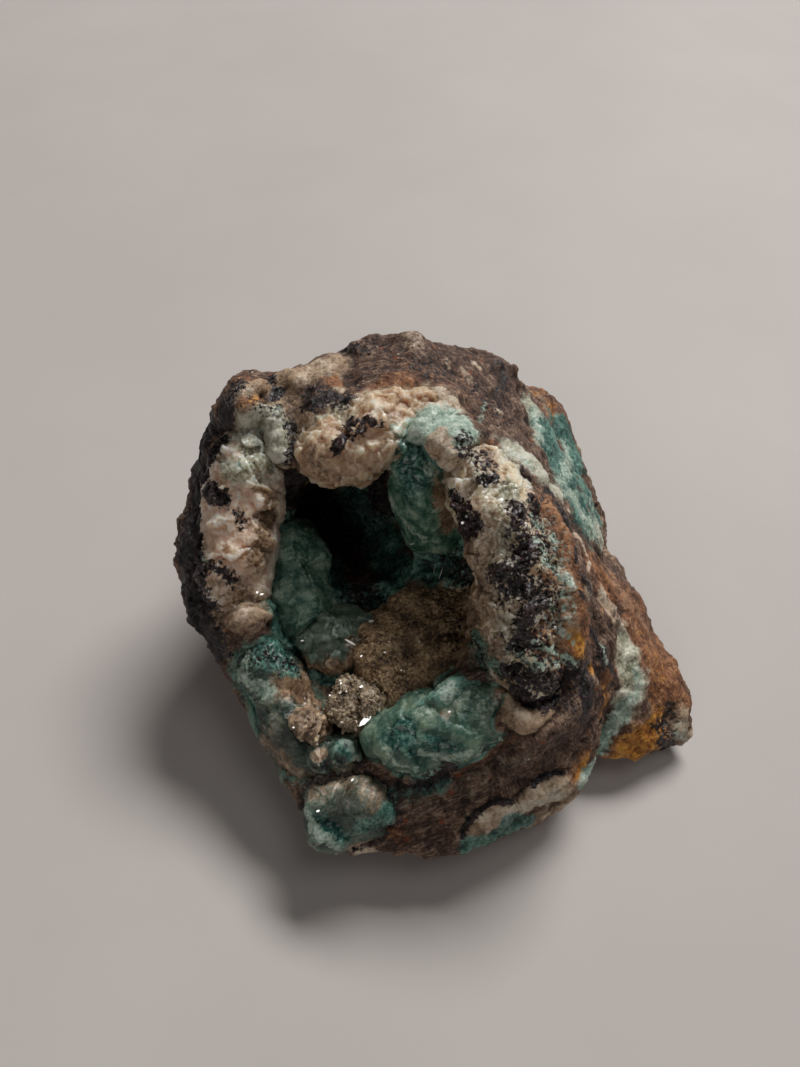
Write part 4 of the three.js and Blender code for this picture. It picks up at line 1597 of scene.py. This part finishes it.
BLADES = (
    Blade((-8.33, -22.24, 17.11), (0.61, 0.65, 0.45), (0.242, 0.102, 0.965), 2.7, 0.72),
    Blade((-10.63, -11.82, 18.06), (0.88, -0.39, -0.27), (0.304, -0.068, 0.950), 1.7, 0.26),
    Blade((1.87, 0.39, 15.71), (0.28, 0.79, 0.55), (-0.036, -0.116, 0.993), 2.3, 0.12),
    Blade((1.02, 1.35, 15.40), (-0.17, 0.81, 0.57), (-0.505, 0.151, 0.850), 1.5, 0.10),
    Blade((-7.91, -8.18, 17.20), (0.93, 0.30, 0.21), (0.229, 0.231, 0.946), 0.8, 0.40),
    Blade((-2.36, 1.31, 21.97), (0.98, 0.16, 0.11), (0.042, -0.149, 0.988), 0.6, 0.25),
    Blade((-22.25, -7.05, 22.41), (0.86, 0.42, 0.30), (0.314, 0.074, 0.947), 0.6, 0.28),
    Blade((-22.80, -7.01, 22.85), (0.55, 0.68, 0.48), (0.317, 0.073, 0.946), 0.4, 0.30),
    Blade((-9.90, -29.17, 14.83), (0.60, 0.66, 0.46), (0.226, 0.188, 0.956), 0.5, 0.20),
    Blade((-14.12, -32.48, 13.14), (0.83, 0.45, 0.32), (0.248, 0.204, 0.947), 0.5, 0.25),
    Blade((-8.99, -18.18, 18.02), (0.80, 0.49, 0.34), (0.229, 0.133, 0.964), 0.6, 0.30),
    Blade((-11.69, -17.36, 17.23), (0.51, 0.70, 0.49), (0.244, 0.130, 0.961), 0.4, 0.20),
    Blade((1.92, -23.37, 22.32), (0.80, 0.49, 0.34), (0.094, 0.094, 0.991), 0.4, 0.22),
    Blade((-10.94, -18.45, 17.27), (0.20, 0.80, 0.56), (0.239, 0.134, 0.962), 0.3, 0.20),
    Blade((-24.79, 6.69, 34.11), (0.97, 0.20, 0.14), (0.440, -0.192, 0.877), 0.5, 0.20),
    Blade((-13.11, -18.68, 16.44), (0.89, -0.37, -0.26), (0.250, 0.137, 0.958), 0.3, 0.20),
    Blade((8.16, -2.70, 37.29), (0.71, 0.58, 0.41), (0.138, 0.019, 0.990), 0.5, 0.40),
    Blade((-19.11, 8.31, 33.49), (0.89, 0.37, 0.26), (0.297, -0.240, 0.924), 0.5, 0.15),
    Blade((3.59, -4.37, 34.87), (0.71, 0.58, 0.41), (0.167, 0.029, 0.986), 0.5, 0.35),
    Blade((4.06, -3.80, 35.43), (0.71, -0.58, -0.41), (0.163, 0.027, 0.986), 0.4, 0.30),
    Blade((-17.21, -10.94, 16.75), (0.97, 0.20, 0.14), (0.277, 0.102, 0.955), 0.5, 0.20),
    Blade((-17.54, -22.91, 16.12), (0.83, 0.45, 0.32), (0.272, 0.156, 0.950), 0.3, 0.20),
    Blade((-6.00, -13.24, 17.85), (0.83, 0.45, 0.32), (0.215, 0.110, 0.970), 0.4, 0.20),
    Blade((-3.85, -15.67, 17.59), (0.55, 0.68, 0.48), (0.202, 0.121, 0.972), 0.3, 0.20),
    Blade((-1.45, -11.68, 17.78), (0.55, 0.68, 0.48), (0.190, 0.103, 0.976), 0.3, 0.20),
    Blade((-9.12, -13.78, 17.85), (0.55, 0.68, 0.48), (0.233, 0.111, 0.966), 0.4, 0.25),
)


@dataclass
class BrightBlades:
    """The few bright blades and needles among the small crystals. Their near-white colour paints the glints of
    clear crystal blades; their smooth faces also mirror the lamps.
    """

    slot: str = "pale_tan_crystal"
    blades: tuple[Blade, ...] = BLADES
    # Near-white: a painted highlight standing in for the glint of clear crystal.
    colour: int = 0xF2F0EA
    roughness: float = 0.25

    def build(self) -> None:
        """Build the blades as one piece."""
        round_it = len(Blade.OUTLINE)
        both = 2 * round_it
        sides = [(i, (i + 1) % round_it, (i + 1) % round_it + round_it, i + round_it) for i in range(round_it)]
        faces = [tuple(range(round_it)), tuple(range(both - 1, round_it - 1, -1))]
        faces += [side[::-1] for side in sides]
        points = np.concatenate([blade.corners() for blade in self.blades])
        every = [tuple(i + both * n for i in face) for n in range(len(self.blades)) for face in faces]
        mesh = bpy.data.meshes.new("bright_blades")
        mesh.from_pydata(points.tolist(), [], every)
        weaver = Weaver("bright_blade")
        feed(weaver.shader, {"Base Color": linear(self.colour), "Roughness": self.roughness})
        settle("bright_blades", mesh, weaver.material, smooth=False)


# ---- The table, the light and the view ----


@dataclass
class Table:
    """The pale table that the nodule rests on."""

    reach: float = 1400.0
    colour: int = 0xC9C3BF
    mottle: int = 0x030303
    mottle_size: float = 60.0
    roughness: float = 0.5
    gloss: float = 0.15

    def build(self) -> None:
        """Lay the table under the nodule."""
        reach = self.reach * MM
        corners = [(x * reach, y * reach, 0) for x, y in ((-1, -1), (1, -1), (1, 1), (-1, 1))]
        mesh = bpy.data.meshes.new("table")
        mesh.from_pydata(corners, [], [(0, 1, 2, 3)])
        weaver = Weaver("table_lacquer")
        tone = weaver.noise(self.mottle_size, 3.0)
        colours = (self.colour - self.mottle, self.colour + self.mottle)
        feed(weaver.shader, {"Base Color": weaver.shades(tone, 0.3, 0.7, colours)})
        feed(weaver.shader, {"Roughness": self.roughness, "Specular IOR Level": self.gloss})
        mesh.materials.append(weaver.material)
        table = bpy.data.objects.new("table", mesh)
        bpy.context.scene.collection.objects.link(table)


@dataclass(frozen=True)
class Lamp:
    """A soft oval light that faces the nodule.

    Args:
        name: its name.
        place: where it hangs, in metres.
        size: its width and height, in metres.
        power: its power, in watts.
        colour: its colour.
    """

    name: str
    place: Point
    size: tuple[float, float]
    power: float
    colour: tuple[float, float, float] = (1.0, 1.0, 1.0)

    def hang(self) -> None:
        """Hang the lamp."""
        data = bpy.data.lights.new(self.name, "AREA")
        data.shape = "ELLIPSE"
        data.size, data.size_y = self.size
        data.energy = self.power
        data.color = self.colour
        lamp = bpy.data.objects.new(self.name, data)
        lamp.location = self.place
        lamp.rotation_euler = Vector(self.place).to_track_quat("Z", "Y").to_euler()
        bpy.context.scene.collection.objects.link(lamp)


@dataclass
class Daylight:
    """Soft light from behind and above, a weak fill from the front, and a little from all round."""

    sky: float = 0.03
    sky_colour: tuple[float, float, float, float] = (0.97, 0.98, 1.0, 1.0)
    lamps: tuple[Lamp, ...] = (
        Lamp("main_softbox", (0.84, 1.57, 1.79), (1.45, 0.62), 58.5, (1.0, 0.985, 0.965)),
        Lamp("front_fill", (-0.79, -1.54, 1.0), (1.4, 1.0), 4.4, (1.0, 0.93, 0.88)),
        Lamp("top_softbox", (0.62, 0.1, 1.9), (1.0, 1.0), 3.0, (1.0, 0.985, 0.965)),
    )

    def build(self) -> None:
        """Light the scene."""
        world = bpy.data.worlds.new("soft_room")
        world.use_nodes = True
        feed(world.node_tree.nodes["Background"], {"Color": self.sky_colour, "Strength": self.sky})
        bpy.context.scene.world = world
        bpy.context.scene.view_settings.view_transform = "Standard"
        for lamp in self.lamps:
            lamp.hang()


@dataclass
class Viewpoint:
    """A close camera that looks down into the vug."""

    place: Point = (-4.0, -61.0, 113.5)
    pitch: float = 35.0
    lens: float = 27.0

    def build(self) -> None:
        """Place the camera."""
        data = bpy.data.cameras.new("viewpoint")
        data.lens = self.lens
        data.sensor_width = 36.0
        data.clip_start = 0.001
        camera = bpy.data.objects.new("viewpoint", data)
        camera.location = Vector(self.place) * MM
        camera.rotation_euler = (math.radians(self.pitch), 0, 0)
        bpy.context.scene.collection.objects.link(camera)
        bpy.context.scene.camera = camera


CRYSTAL_ROOM = 1.5  # the free room that a small crystal needs above it


def main() -> None:
    """Build the nodule, the table, the light and the view."""
    logging.basicConfig(level=logging.INFO, format="%(name)s: %(message)s")
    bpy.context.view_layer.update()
    Viewpoint().build()
    Daylight().build()
    Table().build()
    minerals = MineralMap(STROKES)
    crystals = CrystalTree()
    surfaces = {growth.node: growth.build(minerals) for growth in GROWTHS}
    trees = {node: surface.tree() for node, surface in surfaces.items()}
    host = HostRock()
    ground = host.build(minerals, GROWTHS, trees)
    trees[host.node] = ground.tree()
    rock = settle("rock", ground.mesh, host.finish.material())
    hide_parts(host.node)
    for growth in GROWTHS:
        surface, finish = surfaces[growth.node], growth.finish
        piece = settle(f"{growth.node}_piece", surface.mesh, finish.material())
        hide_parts(growth.node)
        if growth.crops:
            others = [tree for node, tree in trees.items() if node != growth.node]
            surface.attribute("druse", surface.bare(others, CRYSTAL_ROOM))
            clear = replace(finish, name=f"{finish.name}_clear", grit=0.0, facet=0.0, roughness=0.3)
            grown = crystals.grow(surface.mesh, growth.crops, clear.material())
            settle(f"{growth.node}_crystals", grown, grown.materials[0], smooth=False)
    BrightBlades().build()


if __name__ == "__main__":
    main()
